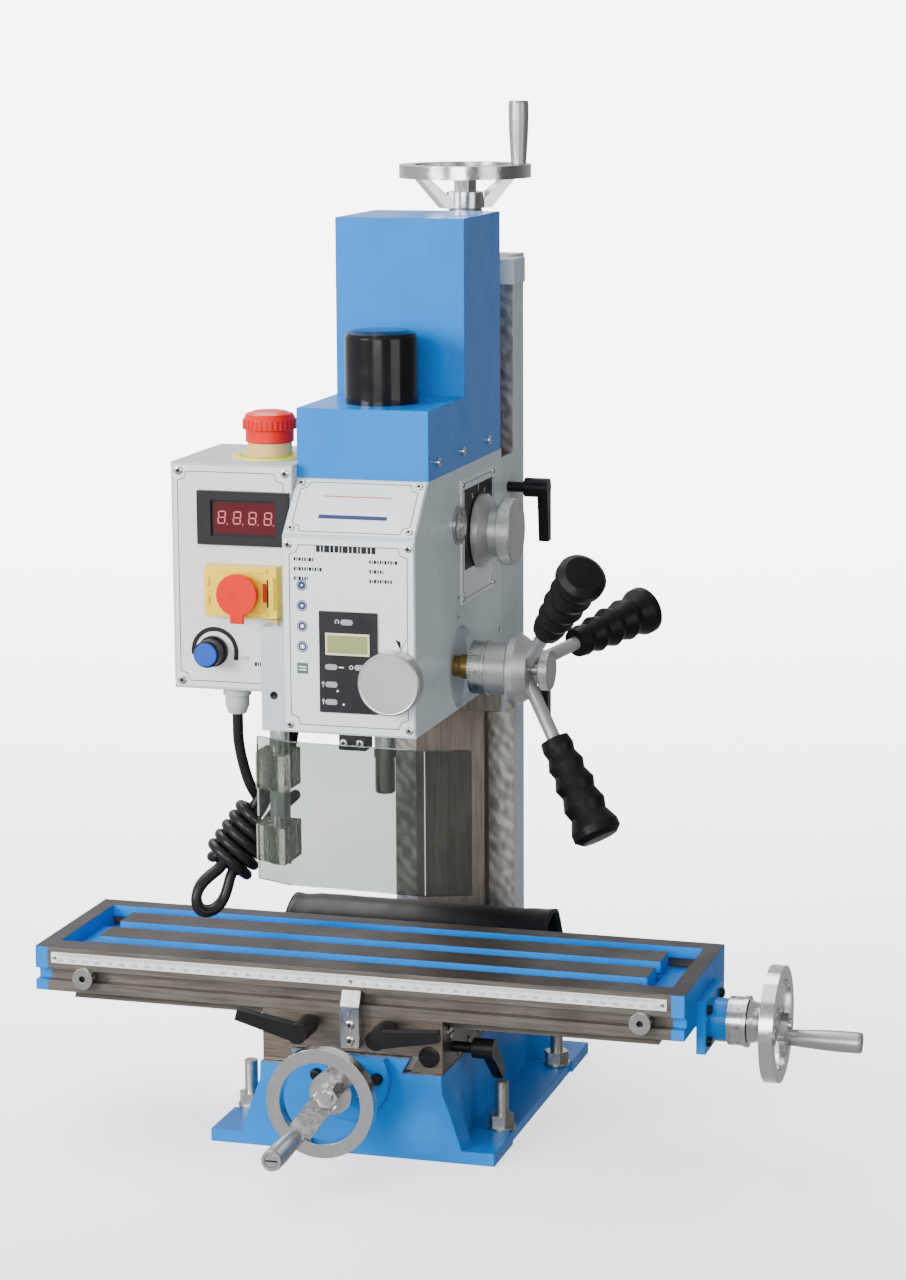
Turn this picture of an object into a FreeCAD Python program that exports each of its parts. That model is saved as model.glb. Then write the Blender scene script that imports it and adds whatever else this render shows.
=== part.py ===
"""Benchtop milling machine as a parametric assembly, in millimetres.

+X runs along the table, +Y from the operator to the column and +Z up.  The origin is the
centre of the four bench studs, on the underside of the base.
"""
import FreeCAD, Part
import math
import os

import Sketcher

V = FreeCAD.Vector
doc = FreeCAD.newDocument("milling_machine")
sheet = doc.addObject("Spreadsheet::Sheet", "sizes")

SIZES = {
    # base
    "base_half_len": 141.5, "base_half_wide": 110.0, "foot_high": 9.5, "plate_high": 8.0,
    "base_top": 65.1, "way_half": 70.0, "way_top": 76.5, "stud_half_x": 99.0, "stud_half_y": 81.5,
    "stud_rad": 5.0, "stud_top": 45.6, "upright_front": 90.5, "upright_top": 109.5, "upright_half": 54.0,
    # saddle and table
    "slide_gap": 0.3, "saddle_half": 69.5, "saddle_front": -136.1, "saddle_back": 1.1,
    "saddle_top": 105.2, "table_half": 250.0, "table_front": -137.5, "table_back": 2.5,
    "table_top": 139.5, "table_under": 105.5, "table_mid": -67.5, "slot_pitch": 43.25,
    "slot_mid": -64.25, "slot_half": 8.25, "rim_in": 237.0, "pocket_in": 214.0, "gib_thick": 5.2,
    # column
    "column_half": 49.7, "column_front": 135.5, "flange_back": 166.0, "column_back": 213.0,
    "column_foot": 12.0, "column_top": 620.5, "cap_high": 19.5, "dovetail_high": 12.0,
    "dovetail_half": 28.5, "dovetail_root": 21.5, "screw_back": 174.0,
    # head
    "head_half": 50.0, "head_front": -132.5, "head_back": 98.5, "head_foot": 314.5,
    "head_kink": 458.5, "head_top": 496.5, "slope_back": -97.5, "spindle_y": -49.0,
    "slide_foot": 287.5, "slide_top": 489.5, "step_top": 547.5, "tower_front": -3.0,
    "tower_back": 96.0, "tower_top": 679.5, "sheet_metal": 1.5, "quill_rad": 25.0, "plate_thick": 1.2,
    # control box
    "box_left": -144.3, "box_front": -107.5, "box_back": -0.5, "box_foot": 337.8, "box_top": 506.6,
    "switch_x": -86.0, "switch_z": 413.5, "dial_x": -113.0, "dial_z": 367.0,
    "stop_x": -83.0, "stop_y": -62.5, "gland_x": -101.0, "gland_y": -92.5,
    # screws, wheels and grips
    "x_screw_z": 102.5, "y_screw_z": 61.0, "screw_rad": 7.0, "z_screw_rad": 10.0, "journal_rad": 8.0,
    "fit": 0.05, "x_wheel_rad": 43.0, "y_wheel_rad": 40.5, "z_wheel_rad": 52.25, "rim_thick": 10.3,
    "x_wheel_at": 298.0, "y_wheel_at": -202.0, "z_wheel_at": 701.3,
    # feed hub, selector and clamps on the right of the head
    "feed_y": -15.5, "feed_z": 346.0, "select_y": 30.5, "select_z": 442.5, "fine_x": 34.2,
    "fine_z": 356.5, "clamp_y": 118.5, "upper_clamp_z": 464.0, "lower_clamp_z": 322.0,
    "arm_tilt": 29.2, "arm_reach": 133.5, "arm_rad": 5.2,
    # guard
    "rod_x": -57.5, "rod_y": -123.5, "rod_rad": 7.0, "guard_foot": 206.0, "guard_top": 312.5,
    "guard_thick": 3.0,
    # mains lead
    "cord_rad": 4.0,
}


class Size:
    """A length in millimetres together with the spreadsheet expression that gives it."""

    def __init__(self, value, text):
        self.value = value
        self.text = text

    def joined(self, other, sign, result):
        return Size(result, f"({self.text} {sign} {as_size(other).text})")

    def __add__(self, other):
        return self.joined(other, "+", self.value + as_size(other).value)

    def __sub__(self, other):
        return self.joined(other, "-", self.value - as_size(other).value)

    def __mul__(self, other):
        return self.joined(other, "*", self.value * as_size(other).value)

    def __truediv__(self, other):
        return self.joined(other, "/", self.value / as_size(other).value)

    def __radd__(self, other):
        return as_size(other) + self

    def __rsub__(self, other):
        return as_size(other) - self

    def __neg__(self):
        return Size(-self.value, f"(0 - {self.text})")


def as_size(value):
    return value if isinstance(value, Size) else Size(float(value), f"({float(value)})")


class Sizes:
    """The spreadsheet's cells, one attribute for each alias."""


D = Sizes()
for row, (alias, number) in enumerate(SIZES.items(), start=1):
    sheet.set(f"A{row}", alias.replace("_", " "))
    sheet.set(f"B{row}", str(number))
    sheet.setAlias(f"B{row}", alias)
    setattr(D, alias, Size(number, f"sizes.{alias}"))
doc.recompute()

POS, NEG = Size(1.0, "1"), Size(-1.0, "(-1)")
NODES = {}
TURNS = {
    "z": FreeCAD.Rotation(),
    "x": FreeCAD.Rotation(V(0, 1, 0), 90),
    "y": FreeCAD.Rotation(V(1, 0, 0), -90),
    "-y": FreeCAD.Rotation(V(1, 0, 0), 90),
    "-z": FreeCAD.Rotation(V(1, 0, 0), 180),
}


def bind(obj, prop, size):
    """Tie one property of an object to the spreadsheet."""
    size = as_size(size)
    if "." not in prop and "[" not in prop:
        setattr(obj, prop, size.value)
    obj.setExpression(prop, size.text)


def place(obj, x, y, z, rotation=FreeCAD.Rotation()):
    """Put an object at a bound position."""
    at = [as_size(c) for c in (x, y, z)]
    obj.Placement = FreeCAD.Placement(V(*[c.value for c in at]), rotation)
    for letter, size in zip("xyz", at):
        obj.setExpression(f"Placement.Base.{letter}", size.text)
    return obj


def node(name, obj):
    """Register an object as one sub-part of the machine."""
    obj.Label = name
    NODES[name] = obj
    return obj


def box(x0, x1, y0, y1, z0, z1):
    """Block between two corners."""
    obj = doc.addObject("Part::Box", "block")
    for prop, low, high in (("Length", x0, x1), ("Width", y0, y1), ("Height", z0, z1)):
        bind(obj, prop, as_size(high) - low)
    return place(obj, x0, y0, z0)


def along(axis, start, u, v):
    """Position of a round piece from its start along an axis and its other two coordinates."""
    return {"x": (start, u, v), "y": (u, start, v), "z": (u, v, start)}[axis]


def rod(axis, start, end, u, v, radius):
    """Cylinder along an axis, from start to end."""
    obj = doc.addObject("Part::Cylinder", "rod")
    bind(obj, "Radius", radius)
    bind(obj, "Height", as_size(end) - start)
    return place(obj, *along(axis, start, u, v), TURNS[axis])


def cone(axis, start, end, u, v, radius_start, radius_end):
    """Frustum along an axis, from start to end."""
    obj = doc.addObject("Part::Cone", "cone")
    bind(obj, "Radius1", radius_start)
    bind(obj, "Radius2", radius_end)
    bind(obj, "Height", as_size(end) - start)
    return place(obj, *along(axis, start, u, v), TURNS[axis])


def fuse(*shapes):
    obj = doc.addObject("Part::MultiFuse", "joined")
    obj.Shapes = list(shapes)
    return obj


def cut(whole, *tools):
    obj = doc.addObject("Part::Cut", "cut")
    obj.Base = whole
    obj.Tool = tools[0] if len(tools) == 1 else fuse(*tools)
    return obj


def group(*shapes):
    """Separate solids that share one node."""
    obj = doc.addObject("Part::Compound", "group")
    obj.Links = list(shapes)
    return obj


def origin_plane(body, role):
    return next(f for f in body.Origin.OriginFeatures if f.Role == role)


def outline_sketch(body, role, points):
    """Closed outline whose corners are all dimensioned from the sketch's origin."""
    sketch = body.newObject("Sketcher::SketchObject", "outline")
    sketch.AttachmentSupport = [(origin_plane(body, role), "")]
    sketch.MapMode = "FlatFace"
    corners = [(as_size(a), as_size(b)) for a, b in points]
    count = len(corners)
    for i in range(count):
        (a, b), (c, d) = corners[i], corners[(i + 1) % count]
        line = Part.LineSegment(V(a.value, b.value, 0), V(c.value, d.value, 0))
        sketch.addGeometry(line, False)
    for i in range(count):
        sketch.addConstraint(Sketcher.Constraint("Coincident", i, 2, (i + 1) % count, 1))
    for i, corner in enumerate(corners):
        for kind, size in zip(("DistanceX", "DistanceY"), corner):
            index = sketch.addConstraint(Sketcher.Constraint(kind, -1, 1, i, 1, size.value))
            sketch.setExpression(f"Constraints[{index}]", size.text)
    return sketch


def prism(axis, start, end, points):
    """Outline pushed along an axis; its points are the other two coordinates, in XYZ order."""
    body = doc.addObject("PartDesign::Body", "prism")
    role = {"x": "YZ_Plane", "y": "XZ_Plane", "z": "XY_Plane"}[axis]
    sketch = outline_sketch(body, role, points)
    offset = -as_size(end) if axis == "y" else as_size(start)
    sketch.AttachmentOffset = FreeCAD.Placement(V(0, 0, offset.value), FreeCAD.Rotation())
    sketch.setExpression("AttachmentOffset.Base.z", offset.text)
    pad = body.newObject("PartDesign::Pad", "pad")
    pad.Profile = sketch
    bind(pad, "Length", as_size(end) - start)
    body.Tip = pad
    return body


def turned(profile, x, y, z, axis="z"):
    """Solid of revolution from (radius, height) points, standing at x, y, z along an axis."""
    body = doc.addObject("PartDesign::Body", "turned")
    sketch = outline_sketch(body, "XZ_Plane", profile)
    revolve = body.newObject("PartDesign::Revolution", "revolve")
    revolve.Profile = sketch
    revolve.ReferenceAxis = (sketch, ["V_Axis"])
    revolve.Angle = 360
    body.Tip = revolve
    return place(body, x, y, z, TURNS[axis])


def mirrored_outline(half):
    """Left half of an outline, bottom to top, completed with its mirror image."""
    return list(half) + [(-as_size(a), b) for a, b in reversed(half)]


# ---------------------------------------------------------------- base and column

def flared_section(y, half_low, half_mid, z_low):
    """Cross-section of the base's body at one station, wider at its foot."""
    half = [(-half_low, z_low), (-half_mid, 35.0), (-D.way_half.value - 0.5, 52.0),
            (-D.way_half.value, D.base_top.value)]
    corners = half + [(-x, z) for x, z in reversed(half)]
    return Part.makePolygon([V(x, y, z) for x, z in corners + corners[:1]])


def base_flanks():
    """Body of the base: flared at both ends and drawn in along its middle."""
    end = D.base_half_len.value
    wide, narrow = (86.0, 77.0), (74.0, 71.5)
    stations = [(-end, wide), (24.0 - end, wide), (54.0 - end, narrow),
                (end - 54.0, narrow), (end - 24.0, wide), (end, wide)]
    sections = [flared_section(y, *halves, D.plate_high.value - 1.0) for y, halves in stations]
    flank = doc.addObject("Part::Feature", "flanks")
    flank.Shape = Part.makeLoft(sections, True, True)
    return flank


def make_base():
    wide, length = D.base_half_wide, D.base_half_len
    plate = box(-wide + 2, wide - 2, -length, length, 0, D.plate_high)
    feet = [box(-wide, wide, -length, -length + 52, 0, D.foot_high),
            box(-wide, wide, length - 52, length, 0, D.foot_high - 0.8)]
    ways = prism("y", -length, D.upright_front,
                 mirrored_outline([(-39.4, D.base_top - 0.5), (-45.8, D.way_top)]))
    upright = box(-D.upright_half, D.upright_half, D.upright_front, D.column_front,
                  D.plate_high, D.upright_top)
    column_space = box(-D.column_half - 0.2, D.column_half + 0.2, D.column_front, length + 1, -1, D.base_top + 1)
    channel = box(-15, 15, -117, 48, 42, 80)
    front_hole = rod("y", -length - 1, -116, 0, D.y_screw_z, 10)
    stud_holes = [rod("z", -1, D.foot_high + 30, sx * D.stud_half_x, sy * D.stud_half_y, D.stud_rad + 1.5)
                  for sx in (NEG, POS) for sy in (NEG, POS)]
    solid = fuse(plate, *feet, base_flanks(), ways, upright)
    node("base", cut(solid, column_space, channel, front_hole, *stud_holes))


def make_column():
    half, front = D.column_half, D.column_front
    flange = box(-half, half, front, D.flange_back, D.column_foot, D.column_top)
    spine = box(-37, 37, D.flange_back - 1, D.column_back, D.column_foot, D.column_top)
    dovetail = prism("z", D.upright_top + 0.5, D.column_top,
                     mirrored_outline([(-D.dovetail_root, front + 0.5),
                                       (-D.dovetail_half, front - D.dovetail_high)]))
    hollow = box(-26, 26, 157, D.column_back + 1, D.column_foot - 1, D.column_top + 1)
    nut_slot = box(-9, 9, front - D.dovetail_high - 1, 158, 380, D.column_top + 1)
    node("column", cut(fuse(flange, spine, dovetail), hollow, nut_slot))


def make_column_cap():
    foot, top = D.column_top, D.column_top + D.cap_high
    half = D.column_half + 1.3
    plate = box(-half, half, D.column_front - 1.5, D.flange_back + 0.5, foot, top)
    rear = box(-37.5, 37.5, D.flange_back, D.column_back + 0.5, foot, top)
    boss = rod("z", top - 1, top + 8, 0, D.screw_back, 17)
    bore = rod("z", foot - 1, top + 9, 0, D.screw_back, D.journal_rad + D.fit)
    node("column_cap", cut(fuse(plate, rear, boss), bore))


def make_mounting_studs():
    """Bench studs with their washers and hexagon nuts."""
    pieces = []
    for sx in (NEG, POS):
        for sy in (NEG, POS):
            x, y = sx * D.stud_half_x, sy * D.stud_half_y
            foot = D.foot_high if sy is NEG else D.foot_high - 0.8
            nut = doc.addObject("Part::Prism", "nut")
            nut.Polygon = 6
            nut.Circumradius = 9.8
            nut.Height = 9
            place(nut, x, y, foot + 1.8)
            washer = rod("z", foot, foot + 1.9, x, y, 10.5)
            pieces.append(fuse(rod("z", 0, D.stud_top, x, y, D.stud_rad), washer, nut))
    node("mounting_studs", group(*pieces))


def make_y_bearing_flange():
    """Round flange on the front of the base, cut flat on top so the saddle passes over it."""
    front = -D.base_half_len
    disc = rod("y", front - 8, front, 0, D.y_screw_z, 32)
    above = box(-40, 40, front - 10, front + 1, D.way_top, 110)
    bore = rod("y", front - 9, front + 1, 0, D.y_screw_z, D.journal_rad + D.fit)
    node("y_bearing_flange", cut(disc, above, bore))


def make_way_cover():
    """Rubber sheet that arches from the upright over the ways to the back of the saddle."""
    upper = [(1.4, 84), (4.2, 99), (6.5, 110), (12, 123), (22, 135), (36, 142), (50, 143.5), (60, 140),
             (67, 132), (73, 122), (80, 114), (90.3, 109.8)]
    lower = [(3.8, 84), (6.5, 98.5), (8.8, 109), (14, 121.5), (23.5, 132.8), (36.8, 139.6), (49.6, 141.1),
             (58.6, 138), (65, 130.8), (71.2, 120.4), (79, 112), (88.6, 107.6)]
    node("way_cover", prism("x", -106, 106, upper + lower[::-1]))


# ---------------------------------------------------------------- saddle

def make_saddle():
    half, front, back, top = D.saddle_half, D.saddle_front, D.saddle_back, D.saddle_top
    foot, gib, mid = D.base_top + D.slide_gap, D.gib_thick, D.table_mid
    block = box(-half, half, front, back, foot, top)
    y_groove = prism("y", front - 1, back + 1,
                     [(-39.6, foot - 0.6), (-46.2, 77.1), (46.2 + gib, 77.1), (39.6 + gib, foot - 0.6)])
    x_groove = prism("x", -half - 1, half + 1,
                     [(mid - 51.2 - gib, 95.1), (mid + 51.2, 95.1), (mid + 45, top + 0.6),
                      (mid - 45 - gib, top + 0.6)])
    screw_way = box(-half - 1, half + 1, mid - 9, mid + 9, 91, 96)
    bolt = LEVER_ROD + D.fit
    holes = [rod("y", front - 1, front + 13, x, TABLE_LOCK_Z, bolt) for x in TABLE_LOCKS]
    holes.append(rod("x", half - 13, half + 1, SADDLE_LOCK_Y, SADDLE_LOCK_Z, bolt))
    node("saddle", cut(block, y_groove, x_groove, screw_way, *holes))


LEVER_ROD = Size(4.0, "4")
TABLE_LOCK_Z, TABLE_LOCKS = 99.0, (-30.0, 30.0)
SADDLE_LOCK_Y, SADDLE_LOCK_Z = -105.5, 77.5


def make_gibs_and_nuts():
    """Bronze gib of each saddle slide and the bronze nuts of the two feed screws."""
    front, back, mid, gib = D.saddle_front, D.saddle_back, D.table_mid, D.gib_thick
    y_gib = prism("y", front + 2, back - 2,
                  [(40.3, 65.9), (46.2, 76.8), (45.8 + gib, 76.8), (39.85 + gib, 65.9)])
    x_gib = prism("x", -D.saddle_half + 2, D.saddle_half - 2,
                  [(mid - 50.8 - gib, 95.4), (mid - 51.4, 95.4), (mid - 45.4, 104.9),
                   (mid - 45.3 - gib, 104.9)])
    y_nut = cut(box(-11, 11, mid - 12, mid + 12, 49, 77.1),
                rod("y", mid - 13, mid + 13, 0, D.y_screw_z, D.screw_rad + D.fit))
    x_nut = cut(box(-20, 20, mid - 8.9, mid + 8.9, 91, 111.5),
                rod("x", -21, 21, mid, D.x_screw_z, D.screw_rad + D.fit))
    node("gibs_and_nuts", group(y_gib, x_gib, y_nut, x_nut))


def make_pointer_block():
    """Index block on the front of the saddle that reads the scale and stops the table."""
    face = D.saddle_front
    node("pointer_block", prism("x", -5.7, 8.6, [
        (face, 82.8), (face - 9.9, 82.8), (face - 9.9, 114), (face - 4.5, 125.1), (face - 2.6, 125.1),
        (face - 2.6, 104.8), (face, 104.8)]))


# ---------------------------------------------------------------- table and its screw

def make_table():
    half, front, back = D.table_half, D.table_front, D.table_back
    top, under, mid = D.table_top, D.table_under, D.table_mid
    body = prism("x", -half, half, [
        (front, top), (front, top - 17.0), (front + 7.5, top - 17.0), (front + 7.5, top - 26.0),
        (front, top - 26.0), (front, under), (back, under), (back, top)])
    dovetail = prism("x", -227, 227, [(mid - 44.6, under + 0.5), (mid - 50.8, under - 10),
                                      (mid + 50.8, under - 10), (mid + 44.6, under + 0.5)])
    cuts = [box(-half - 1, half + 1, mid - 13, mid + 13, under - 11, under + 7)]
    for step in (-1, 0, 1):
        y = D.slot_mid + D.slot_pitch * step
        reach = D.rim_in if step == 1 else D.pocket_in + 1
        cuts.append(box(-reach, reach, y - D.slot_half, y + D.slot_half, top - 9, top + 1))
        cuts.append(box(-reach, reach, y - 12, y + 12, top - 16, top - 9))
    for side in (-1, 1):
        ends = sorted((D.pocket_in * side, D.rim_in * side), key=lambda size: size.value)
        cuts.append(box(*ends, -118.5, -14.5, top - 12, top + 1))
    node("table", cut(fuse(body, dovetail), *cuts))


def make_travel_stops():
    """Round stops clamped in the table's front groove."""
    stops = []
    front = D.table_front
    for x, z in ((-209.7, 118), (218.8, 118)):
        collar = rod("y", front - 7, front - 0.1, x, z, 8)
        stem = rod("y", front - 1, front + 7.5, x, z, 4.1)
        socket = rod("y", front - 8, front - 3, x, z, 2.5)
        stops.append(cut(fuse(collar, stem), socket))
    node("travel_stops", group(*stops))


def make_x_bracket():
    end, mid, z = D.table_half, D.table_mid, D.x_screw_z
    plate = box(end, end + 7, mid - 30, mid + 30, 84, 124)
    barrel = rod("x", end + 6, end + 18.8, mid, z, 16)
    bore = rod("x", end - 1, end + 20, mid, z, D.journal_rad + D.fit)
    node("x_bearing_bracket", cut(fuse(plate, barrel), bore))


def feed_screw(axis, stations, u, v, radius):
    """Threaded part, the journal that carries the wheel and the thinner end that takes its nut."""
    spans = [sorted((as_size(a), as_size(b)), key=lambda size: size.value)
             for a, b in zip(stations, stations[1:])]
    radii = (radius, D.journal_rad, NUT_THREAD)
    return fuse(*[rod(axis, *span, u, v, r) for span, r in zip(spans, radii)])


NUT_THREAD = Size(5.0, "5")


def make_x_screw():
    mid, z, end = D.table_mid, D.x_screw_z, D.table_half
    stations = (-236, end - 4, D.x_wheel_at + 8, D.x_wheel_at + 17)
    node("x_screw", feed_screw("x", stations, mid, z, D.screw_rad))
    ring = fuse(rod("x", end + 19.1, end + 30.6, mid, z, 18), rod("x", end + 30.5, end + 33.6, mid, z, 19))
    node("x_dial", cut(ring, rod("x", end + 18, end + 35, mid, z, D.journal_rad)))


def make_y_screw():
    front, z = -D.base_half_len, D.y_screw_z
    stations = (46, front + 2, D.y_wheel_at + 14, D.y_wheel_at + 2)
    node("y_screw", feed_screw("y", stations, 0, z, D.screw_rad))
    ring = fuse(rod("y", front - 27, front - 8.3, 0, z, 15.8), rod("y", front - 30, front - 27, 0, z, 13))
    node("y_dial", cut(ring, rod("y", front - 31, front - 7, 0, z, D.journal_rad)))


def make_z_screw():
    """Lift screw with its plain journal and the dial above the bearing boss."""
    top = D.column_top + D.cap_high
    thread = rod("z", 60, D.column_top - 1, 0, D.screw_back, D.z_screw_rad)
    journal = rod("z", D.column_top - 2, D.z_wheel_at - 12, 0, D.screw_back, D.journal_rad)
    tip = rod("z", D.z_wheel_at - 13, D.z_wheel_at + 3, 0, D.screw_back, NUT_THREAD)
    dial = turned([(D.journal_rad - 1, 8.3), (19, 8.3), (19, 24), (16, 27), (13, 37), (D.journal_rad - 1, 37)],
                  0, D.screw_back, top)
    node("z_screw", fuse(thread, journal, tip, dial))


# ---------------------------------------------------------------- handwheels, in their own frames

def ring(outer, inner, low, high):
    return cut(rod("z", low, high, 0, 0, outer), rod("z", as_size(low) - 1, as_size(high) + 1, 0, 0, inner))


def grip_pin(x, y, face, length):
    """Pin on the rim that the grip turns on, with a slotted head."""
    face = as_size(face)
    pin = rod("z", face - 3, face + length - 4, x, y, 3)
    head = rod("z", face + length - 4, face + length - 0.5, x, y, 5)
    return fuse(pin, head)


def grip(x, y, face, length):
    """Tapered grip, wide at its free end, that turns on its pin."""
    end = as_size(length)
    profile = [(3 + D.fit, 0.4), (6, 0.4), (6.4, 6), (7.5, 24), (7.9, 36), (7.9, end - 2), (7.4, end),
               (5.3, end), (5.3, end - 4.3), (3 + D.fit, end - 4.3)]
    return turned(profile, x, y, face)


def at_angle(obj, angle):
    """Turn a spoke about the wheel's axis."""
    rotation = FreeCAD.Placement(V(), FreeCAD.Rotation(V(0, 0, 1), angle))
    holder = doc.addObject("Part::Compound", "spoke")
    holder.Links = [obj]
    holder.Placement = rotation
    return holder


def make_handwheel(name, rim, centre, seat, pin_at, grip_len, where, axis):
    """Wheel and its turning grip, built on +Z and then set on the machine.

    seat is where the wheel's nut bears on its hub.
    """
    radius, width = rim
    thick = D.rim_thick
    body = [ring(radius, radius - width, 0, thick)] + centre
    bore = [rod("z", -60, seat, 0, 0, D.journal_rad), rod("z", seat - 1, 30, 0, 0, NUT_THREAD)]
    wheel = cut(fuse(*body, grip_pin(*pin_at, thick, grip_len)), *bore)
    node(name + "_handwheel", place(wheel, *where, TURNS[axis]))
    holder = doc.addObject("Part::Compound", "handle")
    holder.Links = [grip(*pin_at, thick, grip_len)]
    node(name + "_grip", place(holder, *where, TURNS[axis]))


def hexagon(radius, low, high):
    nut = doc.addObject("Part::Prism", "nut")
    nut.Polygon = 6
    nut.Circumradius = radius
    bind(nut, "Height", as_size(high) - low)
    return place(nut, 0, 0, low)


def make_handwheels():
    hub = turned([(7, -14), (16, -14), (12, 1), (12, 8), (7, 8)], 0, 0, 0)
    flat = [at_angle(box(8, 37, -5, 5, 2, 7), angle) for angle in (178, 298, 58)]
    make_handwheel("x", (D.x_wheel_rad, 9.5), [hub, hexagon(9, 8, 15)] + flat, 8, (19.3, 30.8), 53,
                   (D.x_wheel_at, D.table_mid, D.x_screw_z), "x")
    hub = turned([(7, -30), (16, -30), (16, -14), (7, -14)], 0, 0, 0)
    bar = [(7.5, -14.5), (7.5, -9), (33, 7), (33, 2)]
    bars = [at_angle(prism("y", -9, 9, bar), angle) for angle in (55, 235)]
    make_handwheel("y", (D.y_wheel_rad, 10), [hub, hexagon(9, -14, -4)] + bars, -14, (-19, -27), 52,
                   (0, D.y_wheel_at, D.y_screw_z), "-y")
    hub = rod("z", -23.9, -11.3, 0, 0, 15)
    web = [(12, -23.9), (20, -23.9), (45, 4), (41, 6), (12, -18)]
    webs = [at_angle(prism("y", -7, 7, web), angle) for angle in (40, 220)]
    make_handwheel("z", (D.z_wheel_rad, 12), [hub, hexagon(9.2, -12, 1.7)] + webs, -12, (43.8, 0), 49.5,
                   (0, D.screw_back, D.z_wheel_at), "z")


# ---------------------------------------------------------------- clamp levers

def clamp_lever(name, axis, at, face, barrel, arm, thick=8):
    """Black clamp lever: threaded rod, tapered barrel and an arm that leans to one side.

    barrel holds the distances of the barrel's ends from the face it clamps.
    """
    (u, v), (near, far) = [as_size(c) for c in at], barrel
    out = -1 if axis == "y" else 1
    spans = [sorted((as_size(face) + out * p, as_size(face) + out * q), key=lambda size: size.value)
             for p, q in ((-12, near + 1), (near, far), (far - thick, far))]
    screw = rod(axis, *spans[0], u, v, LEVER_ROD)
    hub = rod(axis, *spans[1], u, v, 7.6)
    length = math.hypot(*arm)
    side_u, side_v = -arm[1] / length, arm[0] / length
    outline = [(u + side_u * 6.5, v + side_v * 6.5), (u - side_u * 6.5, v - side_v * 6.5),
               (u + arm[0] - side_u * 4, v + arm[1] - side_v * 4),
               (u + arm[0] + side_u * 4, v + arm[1] + side_v * 4)]
    node(name, fuse(screw, hub, prism(axis, *spans[2], outline)))


def make_levers():
    front, side = D.saddle_front, D.saddle_half
    clamp_lever("table_lock_left", "y", (TABLE_LOCKS[0], TABLE_LOCK_Z), front, (11, 38), (-47, 11))
    clamp_lever("table_lock_right", "y", (TABLE_LOCKS[1], TABLE_LOCK_Z), front, (11, 38), (47, 6))
    clamp_lever("saddle_lock", "x", (SADDLE_LOCK_Y, SADDLE_LOCK_Z), side, (15, 31), (27, -27))
    for name, z in (("head_lock_upper", D.upper_clamp_z), ("head_lock_lower", D.lower_clamp_z)):
        clamp_lever(name, "x", (D.clamp_y, z), D.head_half, (14, 33), (3, -42))


# ---------------------------------------------------------------- head

def make_head_casting():
    half, back = D.head_half, D.head_back
    block = prism("x", -half, half, [(D.head_front, D.head_foot), (back, D.head_foot),
                                     (back, D.head_top), (D.slope_back, D.head_top),
                                     (D.head_front, D.head_kink)])
    y, foot = D.spindle_y, D.head_foot
    cuts = [
        rod("z", foot - 1, 436, 0, y, D.quill_rad + D.fit),
        rod("z", 435, 447, 0, y, 14 + D.fit),
        rod("z", 438, 447, 0, 6, 6 + D.fit),
        box(-43, 43, -88, 72, 446, D.head_top + 1),
        box(-42, 42, 8, back + 1, foot + 8, 434),
        rod("x", -22, half + 1, D.feed_y, D.feed_z, 8 + D.fit),
        rod("x", -6, 6, D.feed_y, D.feed_z, 11.6),
        rod("x", half - 5, half + 1, D.feed_y, D.feed_z, 31),
        rod("x", 24, half + 1, D.select_y, D.select_z, 6 + D.fit),
        rod("y", D.head_front - 1, D.head_front + 20, D.fine_x, D.fine_z, 5 + D.fit),
        rod("x", half - 8, half + 1, 93, 355, 3),
    ]
    node("head_casting", cut(block, *cuts))


def make_head_slide():
    front, back = D.head_back, D.column_front - D.slide_gap
    half = D.head_half
    block = box(-half, half, front, back, D.slide_foot, D.slide_top)
    gap = D.slide_gap
    groove = prism("z", D.slide_foot - 1, D.slide_top + 1, mirrored_outline([
        (-D.dovetail_root - gap, back + 0.5),
        (-D.dovetail_half - gap, back - D.dovetail_high)]))
    bolts = [rod("x", half - 13, half + 1, D.clamp_y, z, LEVER_ROD + D.fit)
             for z in (D.upper_clamp_z, D.lower_clamp_z)]
    node("head_slide", cut(block, groove, *bolts))


def make_z_nut():
    y = D.screw_back
    front = D.column_front - D.slide_gap - D.dovetail_high
    nut = fuse(box(-15, 15, y - 15, y + 15, 440, 480), box(-7.5, 7.5, front, y - 14, 440, 480))
    node("z_nut", cut(nut, rod("z", 439, 481, 0, y, D.z_screw_rad + D.fit)))


def make_belt_cover():
    """Folded sheet cover over the spindle top and the motor, open underneath."""
    half, wall = D.head_half, D.sheet_metal
    outer = fuse(box(-half, half, D.slope_back, D.tower_back, D.head_top, D.step_top),
                 box(-half, half, D.tower_front, D.tower_back, D.head_top, D.tower_top))
    inner = fuse(box(-half + wall, half - wall, D.slope_back + wall, D.tower_back - wall,
                     D.head_top - 1, D.step_top - wall),
                 box(-half + wall, half - wall, D.tower_front + wall, D.tower_back - wall,
                     D.head_top - 1, D.tower_top - wall))
    hole = rod("z", D.step_top - 3, D.step_top + 1, 0, D.spindle_y, 22)
    node("belt_cover", cut(outer, inner, hole))


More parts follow.
